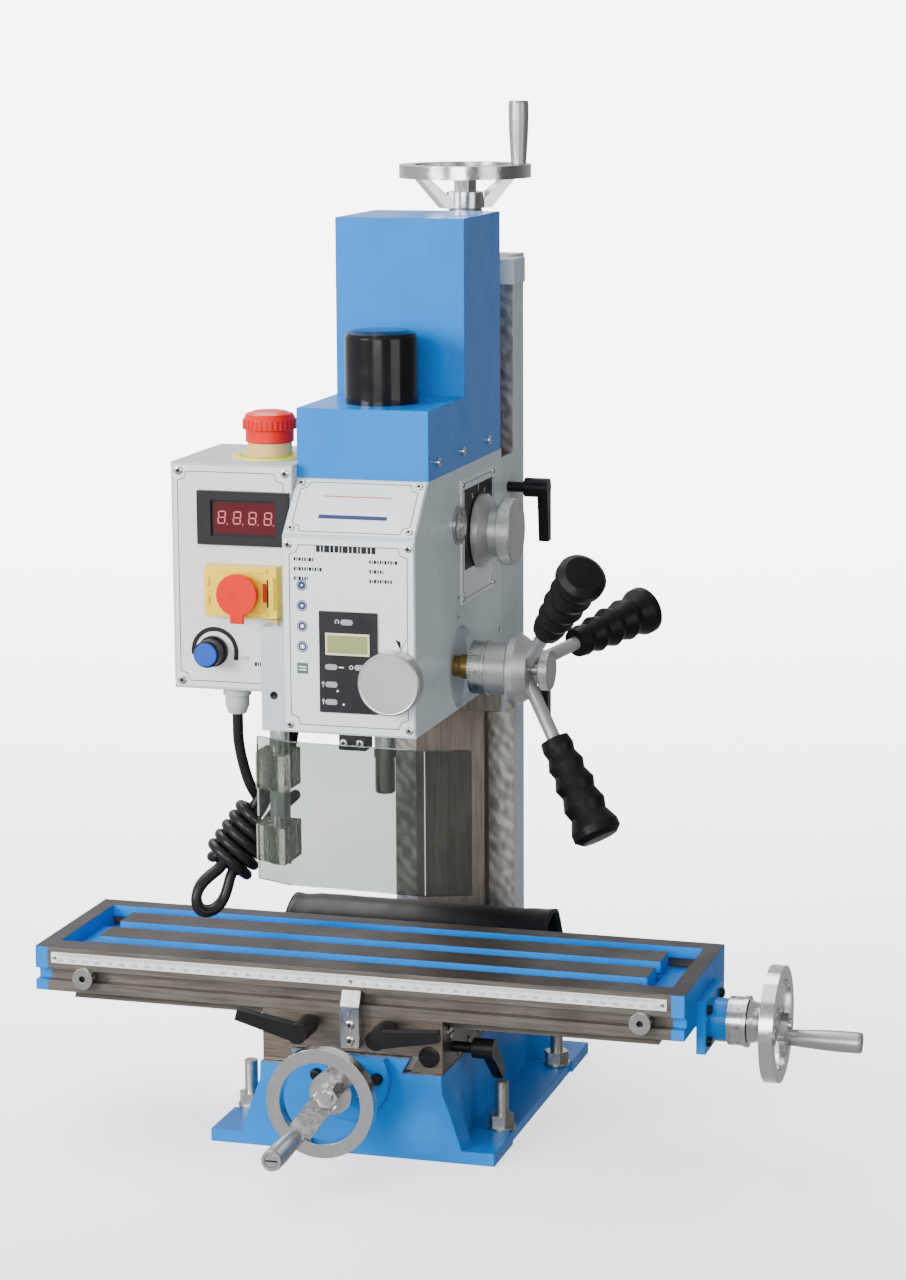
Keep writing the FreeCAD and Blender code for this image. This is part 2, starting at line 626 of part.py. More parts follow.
def make_label_plates():
    """Thin printed plates: head front, head slope, gear selector and control box."""
    thick = D.plate_thick
    front, half = D.head_front, D.head_half
    lower = cut(box(-half + 1, half - 1, front - thick, front, 316, D.head_kink - 1),
                rod("y", front - 3, front + 1, D.fine_x, D.fine_z, 5.4))
    rise, run = D.head_top - D.head_kink, D.slope_back - front
    slope = math.hypot(rise.value, run.value)
    out_y, out_z = -thick * (rise.value / slope), thick * (run.value / slope)
    low_y, low_z = front + run * 0.04, D.head_kink + rise * 0.04
    high_y, high_z = front + run * 0.96, D.head_kink + rise * 0.96
    upper = prism("x", -half + 1, half - 1,
                  [(low_y, low_z), (high_y, high_z), (high_y + out_y, high_z + out_z),
                   (low_y + out_y, low_z + out_z)])
    selector = cut(box(half, half + 0.9, -15.5, 75.5, 392.5, 486.5),
                   rod("x", half - 1, half + 2, D.select_y, D.select_z, 8))
    panel = box(D.box_left + 2, -half - 0.8, D.box_front - thick, D.box_front, D.box_foot + 2,
                D.box_top - 2)
    switch_hole = box(-112, -60, D.box_front - 2, D.box_front + 1, 398, 430)
    knob_hole = rod("y", D.box_front - 2, D.box_front + 1, D.dial_x, D.dial_z, 3 + D.fit)
    node("label_plates", group(lower, upper, selector, cut(panel, switch_hole, knob_hole)))


def make_display_units():
    """Depth read-out and its sensor bracket on the head; speed read-out on the control box."""
    face = D.head_front - D.plate_thick
    depth = box(-22, 22, face - 1.6, face, 331.2, 405.5)
    panel = D.box_front - D.plate_thick
    speed = cut(box(-122.7, -52, panel - 4.5, panel, 446.9, 486.7),
                box(-112, -62, panel - 5, panel - 2.5, 453.5, 480))
    bracket = box(-8.7, 11.8, D.head_front, D.head_front + 16, 303.3, D.head_foot)
    node("display_units", group(depth, speed, bracket))


def make_control_box():
    left, right = D.box_left, -D.head_half
    wall = 2.0
    shell = box(left, right, D.box_front, D.box_back, D.box_foot, D.box_top)
    inside = box(left + wall, right - wall, D.box_front - 1, D.box_back - wall,
                 D.box_foot + wall, D.box_top - wall)
    lead_hole = rod("z", D.box_foot - 1, D.box_foot + 3, D.gland_x, D.gland_y, 5)
    stop_hole = rod("z", D.box_top - 3, D.box_top + 1, D.stop_x, D.stop_y, 6.5)
    node("control_box", cut(shell, inside, lead_hole, stop_hole))


def make_switch():
    """Magnetic main switch and the sprung stop paddle in front of it."""
    face, x, z = D.box_front - D.plate_thick, D.switch_x, D.switch_z
    body = fuse(box(-114.4, -59, face - 12, face, 395, 433), box(-111, -61, face - 1, face + 24, 399, 429))
    well = rod("y", face - 13, face + 16, x, z, 5 + D.fit)
    node("switch_body", cut(body, well))
    disc = rod("y", face - 24, face - 19.5, x, z, 15.5)
    neck = cone("y", face - 20, face - 12 - 5.5, x, z, 12, 8)
    stem = rod("y", face - 18, face + 9, x, z, 5)
    tab = box(x - 5, x + 5, face - 24, face - 21, z - 21, z - 10)
    node("stop_paddle", fuse(disc, neck, stem, tab))


def make_speed_knob():
    face = D.box_front - D.plate_thick
    knob = turned([(0, -6), (3, -6), (3, 0.4), (11.5, 0.4), (11.5, 3), (10, 5), (10, 16), (9.2, 17),
                   (0, 17)], D.dial_x, face, D.dial_z, "-y")
    node("speed_knob", knob)


def make_emergency_stop():
    x, y, top = D.stop_x, D.stop_y, D.box_top
    inner = 6 + D.fit
    base = turned([(inner, -2), (6.5, -2), (6.5, 0), (28, 0), (28, 1.4), (16.5, 1.4), (16.5, 11), (inner, 11)],
                  x, y, top)
    node("estop_base", base)
    button = turned([(0, -9), (6, -9), (6, 18.5), (17, 18.5), (17, 11.5), (18, 11.5), (18, 20),
                     (19.7, 21), (19.7, 28), (17.5, 32), (12, 34), (0, 34.5)], x, y, top)
    node("estop_button", button)


def make_cord_gland():
    """Screwed gland that grips the lead, with its back nut inside the box."""
    profile = [(D.cord_rad, 3), (5, 3), (5, 0), (10.5, 0), (10.5, -6), (9, -6.5), (9, -14), (6.5, -20),
               (D.cord_rad, -20)]
    node("cord_gland", turned(profile, D.gland_x, D.gland_y, D.box_foot))


def make_guard():
    """Rod housing on the head, the rod with its two clamps and the bent clear sheet."""
    x, y, foot = D.rod_x, D.rod_y, D.head_foot
    housing = cut(box(-67.6, -D.head_half, D.head_front, D.head_front + 23.7, foot, 391.5),
                  rod("z", foot - 1, 393, x, y, D.rod_rad + D.fit))
    node("guard_housing", housing)
    stem = fuse(rod("z", 213.5, 391.8, x, y, D.rod_rad), rod("z", 391.8, 394.6, x, y, 7.2))
    line = [(-67, -141.5), (-38.5, -154.5), (64.5, -159.5), (96, -148.5)]
    blocks = []
    for low in (219, 273):
        block = prism("z", low, low + 27, [(-70, -115.5), (-44, -115.5), (-44, -151.99), (-67, -141.5),
                                           (-70, -141.5)])
        blocks.append(cut(block, rod("z", low - 1, low + 28, x, y, D.rod_rad)))
    node("guard_rod", group(stem, *blocks))
    outer = [(-68, -144.4), (-39.1, -157.5), (64.9, -162.6), (97, -151.3)]
    node("guard_sheet", prism("z", D.guard_foot, D.guard_top, line + outer[::-1]))


def make_drive_motor():
    y = 46
    plate = box(-46, 46, 0, 92, D.head_top, D.head_top + 4)
    can = turned([(0, 4), (42, 4), (42, 158), (38, 164), (16, 168), (0, 168)], 0, y, D.head_top)
    bore = rod("z", D.head_top - 1, D.head_top + 40, 0, y, 7 + D.fit)
    node("drive_motor", cut(fuse(plate, can), bore))


# ---------------------------------------------------------------- gears, quill and spindle

MODULE = 2.0


def toothed(count, low, high, module, first, x, y, z_axis="z"):
    """Straight-toothed gear blank with flat-sided teeth and a little backlash."""
    pitch = module * count / 2
    add, dip = 0.8 * module, 1.1 * module
    half_pitch_tooth = 0.45 * math.pi / count
    slope = math.tan(math.radians(20))
    corners = []
    for tooth in range(count):
        mid = math.radians(first) + 2 * math.pi * tooth / count
        for radius, sign in ((pitch - dip, -1), (pitch + add, -1), (pitch + add, 1), (pitch - dip, 1)):
            half = half_pitch_tooth - (radius - pitch) * slope / pitch
            corners.append(V(radius * math.cos(mid + sign * half), radius * math.sin(mid + sign * half), 0))
    face = Part.Face(Part.makePolygon(corners + corners[:1]))
    gear = doc.addObject("Part::Feature", "toothed")
    gear.Shape = face.extrude(V(0, 0, as_size(high).value - as_size(low).value))
    return place(gear, *along(z_axis, low, x, y), TURNS[z_axis])


def make_gears():
    low, high = 462, 480
    spindle = D.spindle_y
    sleeve = fuse(toothed(30, low, high, MODULE, 90, 0, spindle), rod("z", 437, 532, 0, spindle, 14))
    node("sleeve_gear", cut(sleeve, rod("z", 436, 533, 0, spindle, 9 + D.fit)))
    idler = fuse(toothed(25, low, high, MODULE, 90 + 180 / 25 * 2, 0, 6), rod("z", 439, 486, 0, 6, 6))
    node("idler_gear", idler)
    pinion = fuse(toothed(15, low, high, MODULE, 90, 0, 46), rod("z", 456, 532, 0, 46, 7))
    node("motor_gear", pinion)


RACK_MODULE = 1.0
RACK_TEETH = 20


def make_quill():
    """Quill tube with the feed rack cut down its back."""
    y, foot, top = D.spindle_y, D.head_foot + 1, 434
    tube = turned([(15 + D.fit, 0), (D.quill_rad, 0), (D.quill_rad, top - foot), (11 + D.fit, top - foot),
                   (11 + D.fit, 16), (15 + D.fit, 16)], 0, y, foot)
    pitch_y = D.feed_y.value - RACK_MODULE * RACK_TEETH / 2
    pitch = math.pi * RACK_MODULE
    slope = math.tan(math.radians(20))
    grooves = []
    for step in range(-4, 22):
        z = D.feed_z.value + pitch * step
        deep, shallow = pitch_y - 1.15, pitch_y + 1.4
        low_half = 0.275 * pitch - 1.15 * slope
        high_half = 0.275 * pitch + 1.4 * slope
        corners = [V(-6.5, deep, z - low_half), V(-6.5, deep, z + low_half),
                   V(-6.5, shallow, z + high_half), V(-6.5, shallow, z - high_half)]
        grooves.append(Part.Face(Part.makePolygon(corners + corners[:1])).extrude(V(13, 0, 0)))
    rack = doc.addObject("Part::Feature", "rack_grooves")
    rack.Shape = Part.makeCompound(grooves)
    flat = box(-7, 7, pitch_y + 0.8, D.feed_y, D.feed_z - 4.5 * pitch, D.feed_z + 21.5 * pitch)
    node("quill", cut(tube, rack, flat))


def make_spindle():
    y, foot = D.spindle_y, D.head_foot + 1
    body = turned([(0, -11), (13.5, -11), (15, -9.5), (15, 16 - 0.4), (11, 16 - 0.4), (11, 118), (9, 118),
                   (9, 238), (0, 238)], 0, y, foot)
    taper = cone("z", foot - 11.01, foot + 53, 0, y, 8.9, 7.3)
    bore = rod("z", foot + 50, foot + 240, 0, y, 5.2)
    node("spindle", cut(body, taper, bore))
    arbor = turned([(0, 53), (7.3, 53), (8.9, -11), (8.25, -11), (8.25, -35), (7.2, -35), (7.2, -37),
                    (7.5, -37), (7.5, -61), (6.8, -62), (0, -62)], 0, y, foot)
    drawbar = turned([(0, 53), (5, 53), (5, 238.2), (8.5, 238.2), (8.5, 246), (0, 246)], 0, y, foot)
    node("arbor_and_drawbar", group(arbor, drawbar))


def make_drawbar_cap():
    top = D.step_top
    node("drawbar_cap", turned([(25.2, 0), (27.2, 0), (27.2, 48.5), (25.5, 51.5), (20, 53.4), (9, 54), (0, 54),
                                (0, 51.8), (20, 51.2), (25.2, 48)], 0, D.spindle_y, top))


# ---------------------------------------------------------------- controls on the right of the head

def make_feed_hub():
    """Pinion shaft, dial, sleeve and hub with three leaning arms."""
    y, z = D.feed_y, D.feed_z
    shaft = turned([(0, -20), (8, -20), (8, 50), (9.5, 51), (9.5, 59.6), (20, 59.6), (20, 69.7), (21, 70),
                    (21, 72), (20, 72.3), (20, 89.6), (26, 89.6), (27, 91), (27, 96), (21, 105), (8, 105),
                    (0, 105)], 0, y, z, "x")
    pinion = toothed(RACK_TEETH, -5, 5, RACK_MODULE, 0, y, z, "x")
    pinion.Placement = FreeCAD.Placement(V(-5, y.value, z.value), PINION_TURN)
    tilt = math.radians(D.arm_tilt.value)
    arms = []
    for angle in ARM_ANGLES:
        direction = arm_direction(tilt, angle)
        arm = doc.addObject("Part::Cylinder", "arm")
        bind(arm, "Radius", D.arm_rad)
        bind(arm, "Height", D.arm_reach - 35)
        place(arm, ARM_X, y, z, FreeCAD.Rotation(V(0, 0, 1), direction))
        arms.append(arm)
    necked = cut(fuse(shaft, pinion, *arms), rod("x", 90, 106, y, z, 4 + D.fit),
                 ring_on_x(8.5, -20, -5.3, y, z))
    node("feed_hub", necked)


PINION_TURN = FreeCAD.Rotation(V(0, 1, 0), 90)
ARM_X = 97.5
ARM_ANGLES = (133.7, 13.7, 253.7)


def ring_on_x(radius, low, high, y, z):
    """Waste ring that thins the inner end of the feed shaft."""
    return cut(rod("x", low, high, y, z, radius), rod("x", low - 1, high + 1, y, z, 7))


def arm_direction(tilt, angle):
    turn = math.radians(angle)
    return V(math.sin(tilt), math.cos(tilt) * math.cos(turn), math.cos(tilt) * math.sin(turn))


def make_feed_grips():
    """Rubber grips, swelling towards a round end."""
    tilt = math.radians(D.arm_tilt.value)
    grips = []
    for angle in ARM_ANGLES:
        end = D.arm_reach
        profile = [(D.arm_rad, end - 75), (11, end - 75), (12.2, end - 68), (10.8, end - 62),
                   (14, end - 54), (12, end - 47), (15.5, end - 38), (13, end - 31), (16.3, end - 21),
                   (14, end - 13), (18.5, end - 3), (18.5, end + 3), (14, end + 7), (0, end + 8),
                   (0, end - 35), (D.arm_rad, end - 35)]
        one = turned(profile, ARM_X, D.feed_y, D.feed_z)
        place(one, ARM_X, D.feed_y, D.feed_z, FreeCAD.Rotation(V(0, 0, 1), arm_direction(tilt, angle)))
        grips.append(one)
    node("feed_grips", group(*grips))


def make_knobs():
    y, z = D.feed_y, D.feed_z
    node("feed_lock_knob", turned([(0, 92), (4, 92), (4, 112.3), (14, 112.3), (15, 113.3), (15, 119.6),
                                   (14, 120.4), (0, 120.4)], 0, y, z, "x"))
    node("selector_knob", turned([(0, 26), (6, 26), (6, 52), (28, 52), (28, 57), (24, 60), (20, 63), (20, 70),
                                  (24.2, 70), (25, 71), (25, 80), (24, 81), (0, 81)],
                                 0, D.select_y, D.select_z, "x"))
    face = D.head_front - 3.1
    node("fine_feed_knob", turned([(0, -20), (5, -20), (5, 0), (22, 0), (23, 1.2), (23, 12.5), (21.8, 13.5),
                                   (0, 13.5)], D.fine_x, face, D.fine_z, "-y"))


# ---------------------------------------------------------------- mains lead

LEAD_ROUTE = [(-101, -92.5, 323), (-101, -92.5, 303), (-98, -91, 281), (-93, -88, 260), (-90, -86, 237.4)]
PLUG_ROUTE = [(-72, -59, 304), (-72, -59, 289), (-74, -62, 273), (-78, -68, 256), (-82, -74, 237.4)]
HANK_TOP = (-84, -84, 242)
HANK_FOOT = (-113, -104, 197)


def rounded_path(points):
    """Straight runs joined by tangent arcs, each as large as its two runs allow."""
    points = [V(*p) for p in points]
    edges, start, radii = [], points[0], []
    for before, corner, after in zip(points, points[1:], points[2:]):
        into, out = (corner - before), (after - corner)
        turn = into.getAngle(out)
        reach = 0.45 * min(into.Length, out.Length)
        radii.append(reach / math.tan(turn / 2))
        first, last = corner - V(into).normalize() * reach, corner + V(out).normalize() * reach
        bisector = (V(out).normalize() - V(into).normalize()).normalize()
        centre = corner + bisector * (radii[-1] / math.cos(turn / 2))
        middle = centre - bisector * radii[-1]
        edges.append(Part.LineSegment(start, first).toShape())
        edges.append(Part.Arc(first, middle, last).toShape())
        start = last
    edges.append(Part.LineSegment(start, points[-1]).toShape())
    return Part.Wire(edges), radii


def tube(route, radius):
    """Round lead along a route, with its radii and volume checked."""
    wire, radii = rounded_path(route)
    first = V(*route[1]) - V(*route[0])
    circle = Part.Wire([Part.Circle(V(*route[0]), first, radius).toShape()])
    solid = wire.makePipeShell([circle], True, True)
    expected = math.pi * radius ** 2 * wire.Length
    print("lead length", round(wire.Length, 1), "radii", [round(r, 1) for r in radii],
          "volume ratio", round(solid.Volume / expected, 4))
    return solid


def make_mains_lead():
    """Lead out of the gland, its free end with the plug, and the wound hank between them."""
    leads = doc.addObject("Part::Feature", "leads")
    leads.Shape = Part.makeCompound([tube(LEAD_ROUTE, D.cord_rad.value), tube(PLUG_ROUTE, D.cord_rad.value)])
    node("mains_cord", leads)
    down = (V(*HANK_FOOT) - V(*HANK_TOP)).normalize()
    outline = [(0, -4), (12, -3), (19, 1), (22.5, 8), (22.5, 42), (19, 50), (13, 54), (11.5, 76), (8, 82), (0, 83)]
    hank = place(turned(outline, 0, 0, 0), *HANK_TOP, FreeCAD.Rotation(V(0, 0, 1), down))
    node("cord_hank", cut(hank, box(-150, -20, -150, -20, 236, 300)))
    plug = turned([(0, 304), (7, 304), (10, 309), (17, 311), (17, 329), (15, 331), (0, 331)], -72, -59, 0)
    node("mains_plug", plug)


# ---------------------------------------------------------------- build, check and write

def build():
    make_base()
    make_column()
    make_column_cap()
    make_mounting_studs()
    make_y_bearing_flange()
    make_way_cover()
    make_saddle()
    make_gibs_and_nuts()
    make_pointer_block()
    make_table()
    make_travel_stops()
    make_x_bracket()
    make_x_screw()
    make_y_screw()
    make_z_screw()
    make_handwheels()
    make_levers()
    make_head_casting()
    make_head_slide()
    make_z_nut()
    make_belt_cover()
    make_label_plates()
    make_display_units()
    make_control_box()
    make_switch()
    make_speed_knob()
    make_emergency_stop()
    make_cord_gland()
    make_guard()
    make_drive_motor()
    make_gears()
    make_quill()
    make_spindle()
    make_drawbar_cap()
    make_feed_hub()
    make_feed_grips()
    make_knobs()
    make_mains_lead()


def check_and_write():
    doc.recompute()
    bad = [o.Name for o in doc.Objects if any(flag in o.State for flag in ("Invalid", "Error"))]
    for name, obj in NODES.items():
        shape = obj.Shape
        if shape.isNull() or not shape.isValid() or not shape.Solids:
            bad.append(name)
    if bad:
        raise RuntimeError(f"failed objects: {bad}")
    os.makedirs("parts", exist_ok=True)
    for name, obj in NODES.items():
        obj.Shape.exportStep(f"parts/{name}.step")
        print(name, len(obj.Shape.Solids), round(obj.Shape.Volume / 1000, 1), "cm3")


build()
check_and_write()
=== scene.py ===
"""Looks of the benchtop milling machine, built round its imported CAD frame, in metres."""
import math
import bpy
from mathutils import Matrix, Vector


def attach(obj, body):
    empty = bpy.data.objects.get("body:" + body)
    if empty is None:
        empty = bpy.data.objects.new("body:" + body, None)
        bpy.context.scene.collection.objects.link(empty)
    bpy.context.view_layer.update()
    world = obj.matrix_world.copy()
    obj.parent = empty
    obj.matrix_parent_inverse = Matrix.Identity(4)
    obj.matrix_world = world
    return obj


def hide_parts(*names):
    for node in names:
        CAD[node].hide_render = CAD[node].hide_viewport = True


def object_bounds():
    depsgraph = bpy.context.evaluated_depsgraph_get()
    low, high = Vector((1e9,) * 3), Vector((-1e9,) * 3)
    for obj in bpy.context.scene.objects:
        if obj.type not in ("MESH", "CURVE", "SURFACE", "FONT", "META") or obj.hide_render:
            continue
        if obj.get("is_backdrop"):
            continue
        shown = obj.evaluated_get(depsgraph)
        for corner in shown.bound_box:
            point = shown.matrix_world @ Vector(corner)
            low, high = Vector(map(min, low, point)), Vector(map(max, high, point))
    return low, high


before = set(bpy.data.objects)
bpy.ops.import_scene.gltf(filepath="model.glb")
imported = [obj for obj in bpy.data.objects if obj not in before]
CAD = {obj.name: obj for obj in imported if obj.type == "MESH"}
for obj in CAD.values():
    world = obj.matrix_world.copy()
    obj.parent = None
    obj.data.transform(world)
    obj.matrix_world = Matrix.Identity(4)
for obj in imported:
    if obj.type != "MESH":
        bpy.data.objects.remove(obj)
first_low, first_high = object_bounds()

# places on the machine, in millimetres
MM = 0.001
HEAD_PLATE, BOX_PLATE, READOUT_FACE, TABLE_FRONT = -133.75, -108.72, -135.3, -137.5
HEAD_SIDE, SIDE_PLATE, SADDLE_SIDE, BRACKET_FACE = 50.0, 50.95, 69.5, 257.0
HEAD_FOOT_SCREWS = 308.6
FEED_Y, FEED_Z = -15.5, 346.0
SELECTOR_Y, SELECTOR_Z = 30.5, 442.5
SPEED_KNOB_X, SPEED_KNOB_Z = -113.0, 367.0
STOP_X, STOP_Y = -83.0, -62.5
X_SCREW_Y, X_SCREW_Z, Y_SCREW_Z, Z_SCREW_Y = -67.5, 102.5, 61.0, 174.0
STUD_X, STUD_Y = 99.0, 81.5
PLUG_X, PLUG_Y = -72.0, -59.0

# thickness of printed marks, and the ways that faces look
PRINT = 0.05
FRONT, RIGHT, UP = (0, -1, 0), (1, 0, 0), (0, 0, 1)


def link(thing):
    bpy.context.scene.collection.objects.link(thing)


# ---- node trees

class Nodes:
    """A node tree and the sums and steps that its patterns are made of."""

    def __init__(self, tree, coordinates):
        self.tree = tree
        self.place = self.node("ShaderNodeTexCoord").outputs[coordinates]

    def node(self, kind, **inputs):
        made = self.tree.nodes.new(kind)
        for name, value in inputs.items():
            self.feed(made.inputs[name.replace("_", " ")], value)
        return made

    def feed(self, socket, value):
        if isinstance(value, bpy.types.NodeSocket):
            self.tree.links.new(value, socket)
        elif socket.type == "RGBA":
            socket.default_value = (*value, 1)
        else:
            socket.default_value = value

    def axes(self):
        return self.node("ShaderNodeSeparateXYZ", Vector=self.place).outputs

    def math(self, kind, a, b=0.0):
        made = self.node("ShaderNodeMath")
        made.operation = kind
        self.feed(made.inputs[0], a)
        self.feed(made.inputs[1], b)
        return made.outputs[0]

    def add(self, a, b):
        return self.math("ADD", a, b)

    def times(self, a, b):
        return self.math("MULTIPLY", a, b)

    def above(self, value, limit):
        """1 where value is above the limit."""
        return self.math("GREATER_THAN", value, limit)

    def below(self, value, limit):
        """1 where value is below the limit."""
        return self.math("LESS_THAN", value, limit)

    def inside(self, value, low, high):
        """1 where value lies between low and high."""
        return self.times(self.above(value, low), self.below(value, high))

    def between(self, value, low, high, out_low=0.0, out_high=1.0):
        """Value stretched so that low gives out_low and high gives out_high."""
        return self.node("ShaderNodeMapRange", Value=value, From_Min=low, From_Max=high,
                         To_Min=out_low, To_Max=out_high).outputs[0]


class Graph(Nodes):
    """A material and the few node patterns that its surface is built from."""

    def __init__(self, name):
        self.material = bpy.data.materials.new(name)
        self.material.use_nodes = True
        super().__init__(self.material.node_tree, "Object")
        self.shader = self.tree.nodes["Principled BSDF"]

    def stretched(self, stretch):
        return self.node("ShaderNodeMapping", Vector=self.place, Scale=stretch).outputs[0]

    def noise(self, scale, detail, stretch=(1, 1, 1)):
        return self.node("ShaderNodeTexNoise", Vector=self.stretched(stretch), Scale=scale, Detail=detail,
                         Roughness=0.55).outputs["Fac"]

    def cells(self, scale, stretch):
        return self.node("ShaderNodeTexVoronoi", Vector=self.stretched(stretch),
                         Scale=scale).outputs["Distance"]

    def spread(self, noise, low=0.0, high=1.0):
        """The middle of a noise's range stretched from low to high."""
        return self.between(noise, 0.3, 0.7, low, high)

    def mix(self, factor, first, second):
        made = self.node("ShaderNodeMix")
        made.data_type = "RGBA"
        self.feed(made.inputs[0], factor)
        self.feed(made.inputs[6], first)
        self.feed(made.inputs[7], second)
        return made.outputs[2]

    def shades(self, noise, colour, dark, light):
        """A colour that drifts between two strengths of itself."""
        return self.mix(self.spread(noise), tone(colour, dark), tone(colour, light))

    def surface(self, height, strength, distance, round_edges=0.0):
        """Bumps, and edges rounded to a radius."""
        bump = self.node("ShaderNodeBump", Height=height, Strength=strength, Distance=distance)
        if round_edges:
            edge = self.node("ShaderNodeBevel", Radius=round_edges)
            edge.samples = 4
            self.feed(bump.inputs["Normal"], edge.outputs[0])
        self.feed(self.shader.inputs["Normal"], bump.outputs[0])

    def set(self, **inputs):
        for name, value in inputs.items():
            self.feed(self.shader.inputs[name.replace("_", " ")], value)


# ---- camera, lights and floor

def make_camera():
    """Long lens from the front right, a little above the table."""
    azimuth, elevation, roll = (math.radians(angle) for angle in (16.25, 10.64, -0.28))
    back = Vector((math.sin(azimuth) * math.cos(elevation), -math.cos(azimuth) * math.cos(elevation),
                   math.sin(elevation)))
    right = Vector((math.cos(azimuth), math.sin(azimuth), 0))
    up = back.cross(right)
    right_rolled = right * math.cos(roll) + up * math.sin(roll)
    up_rolled = up * math.cos(roll) - right * math.sin(roll)
    turn = Matrix((right_rolled, up_rolled, back)).transposed().to_4x4()
    data = bpy.data.cameras.new("camera")
    data.lens = 93.38
    data.sensor_width = 36
    data.sensor_fit = "AUTO"
    data.shift_x = -0.005
    data.shift_y = 0.0017
    data.clip_start = 0.05
    data.clip_end = 60
    camera = bpy.data.objects.new("camera", data)
    camera.matrix_world = shift(0.7344, -2.3683, 0.8246) @ turn
    link(camera)
    bpy.context.scene.camera = camera


def area_light(name, place, aim, power, width, height):
    data = bpy.data.lights.new(name, "AREA")
    data.shape = "RECTANGLE"
    data.size, data.size_y = width, height
    data.energy = power
    light = bpy.data.objects.new(name, data)
    light.location = place
    light.rotation_euler = (Vector(aim) - Vector(place)).to_track_quat("-Z", "Y").to_euler()
    link(light)


def make_light():
    centre = (0, 0, 0.38)
    area_light("key", (-1.9, -2.6, 1.3), centre, 150, 1.3, 1.3)
    area_light("front", (0.25, -3.2, 0.9), centre, 60, 1.5, 1.2)
    area_light("top", (-0.4, -0.6, 2.7), centre, 16, 1.6, 1.6)
    area_light("right_fill", (2.6, -1.5, 0.9), centre, 24, 1.6, 1.6)
    area_light("floor_wash", (-1.4, 1.4, 2.8), (-0.4, 1.6, 0), 130, 2.4, 2.4)
    world = bpy.data.worlds.new("studio")
    world.use_nodes = True
    n = Nodes(world.node_tree, "Generated")
    x, y, z = n.axes()
    behind_left = n.times(n.between(x, 0.10, -0.10), n.between(y, 0.35, 0.75))
    backdrop = n.times(behind_left, n.between(z, 0.75, 0.30))
    from_left = n.between(x, 0.9, -0.5)
    level = n.add(n.times(backdrop, 0.4), n.times(from_left, 0.62))
    background = n.tree.nodes["Background"]
    n.feed(background.inputs["Strength"], n.add(level, 0.16))
    n.feed(background.inputs["Color"], (0.96, 0.975, 1.0))
    bpy.context.scene.world = world


def make_floor():
    """Pale floor that curves up into a backdrop, and that casts no light back on the machine."""
    reach, bend = 14.0, 2.0
    line = [(-reach, 0.0), (-3.0, 0.0), (0.0, 0.0), (bend, 0.0)]
    curve = [math.radians(7.5 * k) for k in range(1, 13)]
    line += [(bend + bend * math.sin(a), bend - bend * math.cos(a)) for a in curve]
    line += [(2 * bend, 7.0)]
    points = [(x, y, z) for y, z in line for x in (-reach, reach)]
    faces = [(2 * i, 2 * i + 1, 2 * i + 3, 2 * i + 2) for i in range(len(line) - 1)]
    mesh = bpy.data.meshes.new("floor")
    mesh.from_pydata(points, [], faces)
    mesh.shade_smooth()
    g = Graph("floor_surface")
    x, y = g.axes()[:2]
    # Painted light: the floor glows, faintly everywhere and much more strongly towards the back and the
    # left.
    far = g.times(g.between(y, -0.4, 2.6), g.between(x, 1.5, 0.4))
    g.set(Base_Color=g.mix(g.spread(g.noise(3, 3)), (0.90, 0.90, 0.905), (0.93, 0.93, 0.935)))
    g.set(Roughness=g.spread(g.noise(8, 3), 0.75, 0.9))
    g.set(Emission_Color=(1.0, 1.0, 1.0), Emission_Strength=g.add(g.times(far, 4.2), 0.9))
    mesh.materials.append(g.material)
    floor = bpy.data.objects.new("floor", mesh)
    floor.location = (0, 0, -0.0005)
    floor.visible_diffuse = False
    floor.visible_glossy = False
    link(floor)
    floor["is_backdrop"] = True


# ---- materials

def tone(colour, factor):
    return tuple(min(1.0, c * factor) for c in colour)


def paint(name, colour, gloss):
    """Sprayed enamel: slow colour drift, fine orange peel and faint dust."""
    g = Graph(name)
    drift = g.noise(9, 3)
    fleck = g.noise(260, 2)
    base = g.shades(drift, colour, 0.93, 1.07)
    g.set(Base_Color=g.mix(g.between(fleck, 0.62, 0.72, 0, 0.10), base, tone(colour, 0.6)))
    g.set(Roughness=g.spread(g.noise(30, 4), gloss - 0.05, gloss + 0.09))
    g.set(IOR=1.27)
    g.surface(g.noise(330, 2), 0.10, 0.0005, 0.0011)
    return g.material


def metal(name, colour, rough, stretch=(1, 1, 1), grain=0.10, scale=420, metallic=1.0):
    """Machined metal: tool marks along one direction, with oil and wear patches."""
    g = Graph(name)
    marks = g.noise(scale, 3, stretch)
    patches = g.noise(26, 5)
    base = g.shades(marks, colour, 1 - grain, 1 + grain)
    g.set(Base_Color=g.mix(g.between(patches, 0.35, 0.75, 0, 0.35), base, tone(colour, 0.72)))
    wear = g.add(g.spread(patches, -0.05, 0.07), g.spread(marks, -0.05, 0.05))
    g.set(Roughness=g.add(wear, rough), Metallic=metallic)
    g.surface(marks, 0.12, 0.0003, 0.0004)
    return g.material


def plastic(name, colour, rough, edge=0.0006, peel=500, strength=0.08, coat=0.0):
    """Moulded plastic or rubber: fine spark texture and handling marks."""
    g = Graph(name)
    base = g.shades(g.noise(22, 4), colour, 0.95, 1.05)
    g.set(Base_Color=base, Coat_Weight=coat, Coat_Roughness=0.1, IOR=1.26)
    g.set(Roughness=g.spread(g.noise(60, 5), rough - 0.07, rough + 0.10))
    g.surface(g.noise(peel, 2), strength, 0.0003, edge)
    return g.material


def scraped(g, light, dark):
    """Colour of a hand-flaked slideway: rows of small overlapping marks."""
    marks = g.cells(150, (1.0, 1.0, 0.55))
    rows = g.cells(95, (1.3, 1.0, 0.8))
    flake = g.times(g.between(marks, 0.15, 0.6), g.between(rows, 0.1, 0.7, 0.35, 1))
    return g.mix(flake, dark, light), flake


BLUE = (0.0, 0.185, 0.61)
PALE = (0.50, 0.58, 0.62)
IRON = (0.075, 0.062, 0.052)
STEEL = (0.47, 0.46, 0.44)


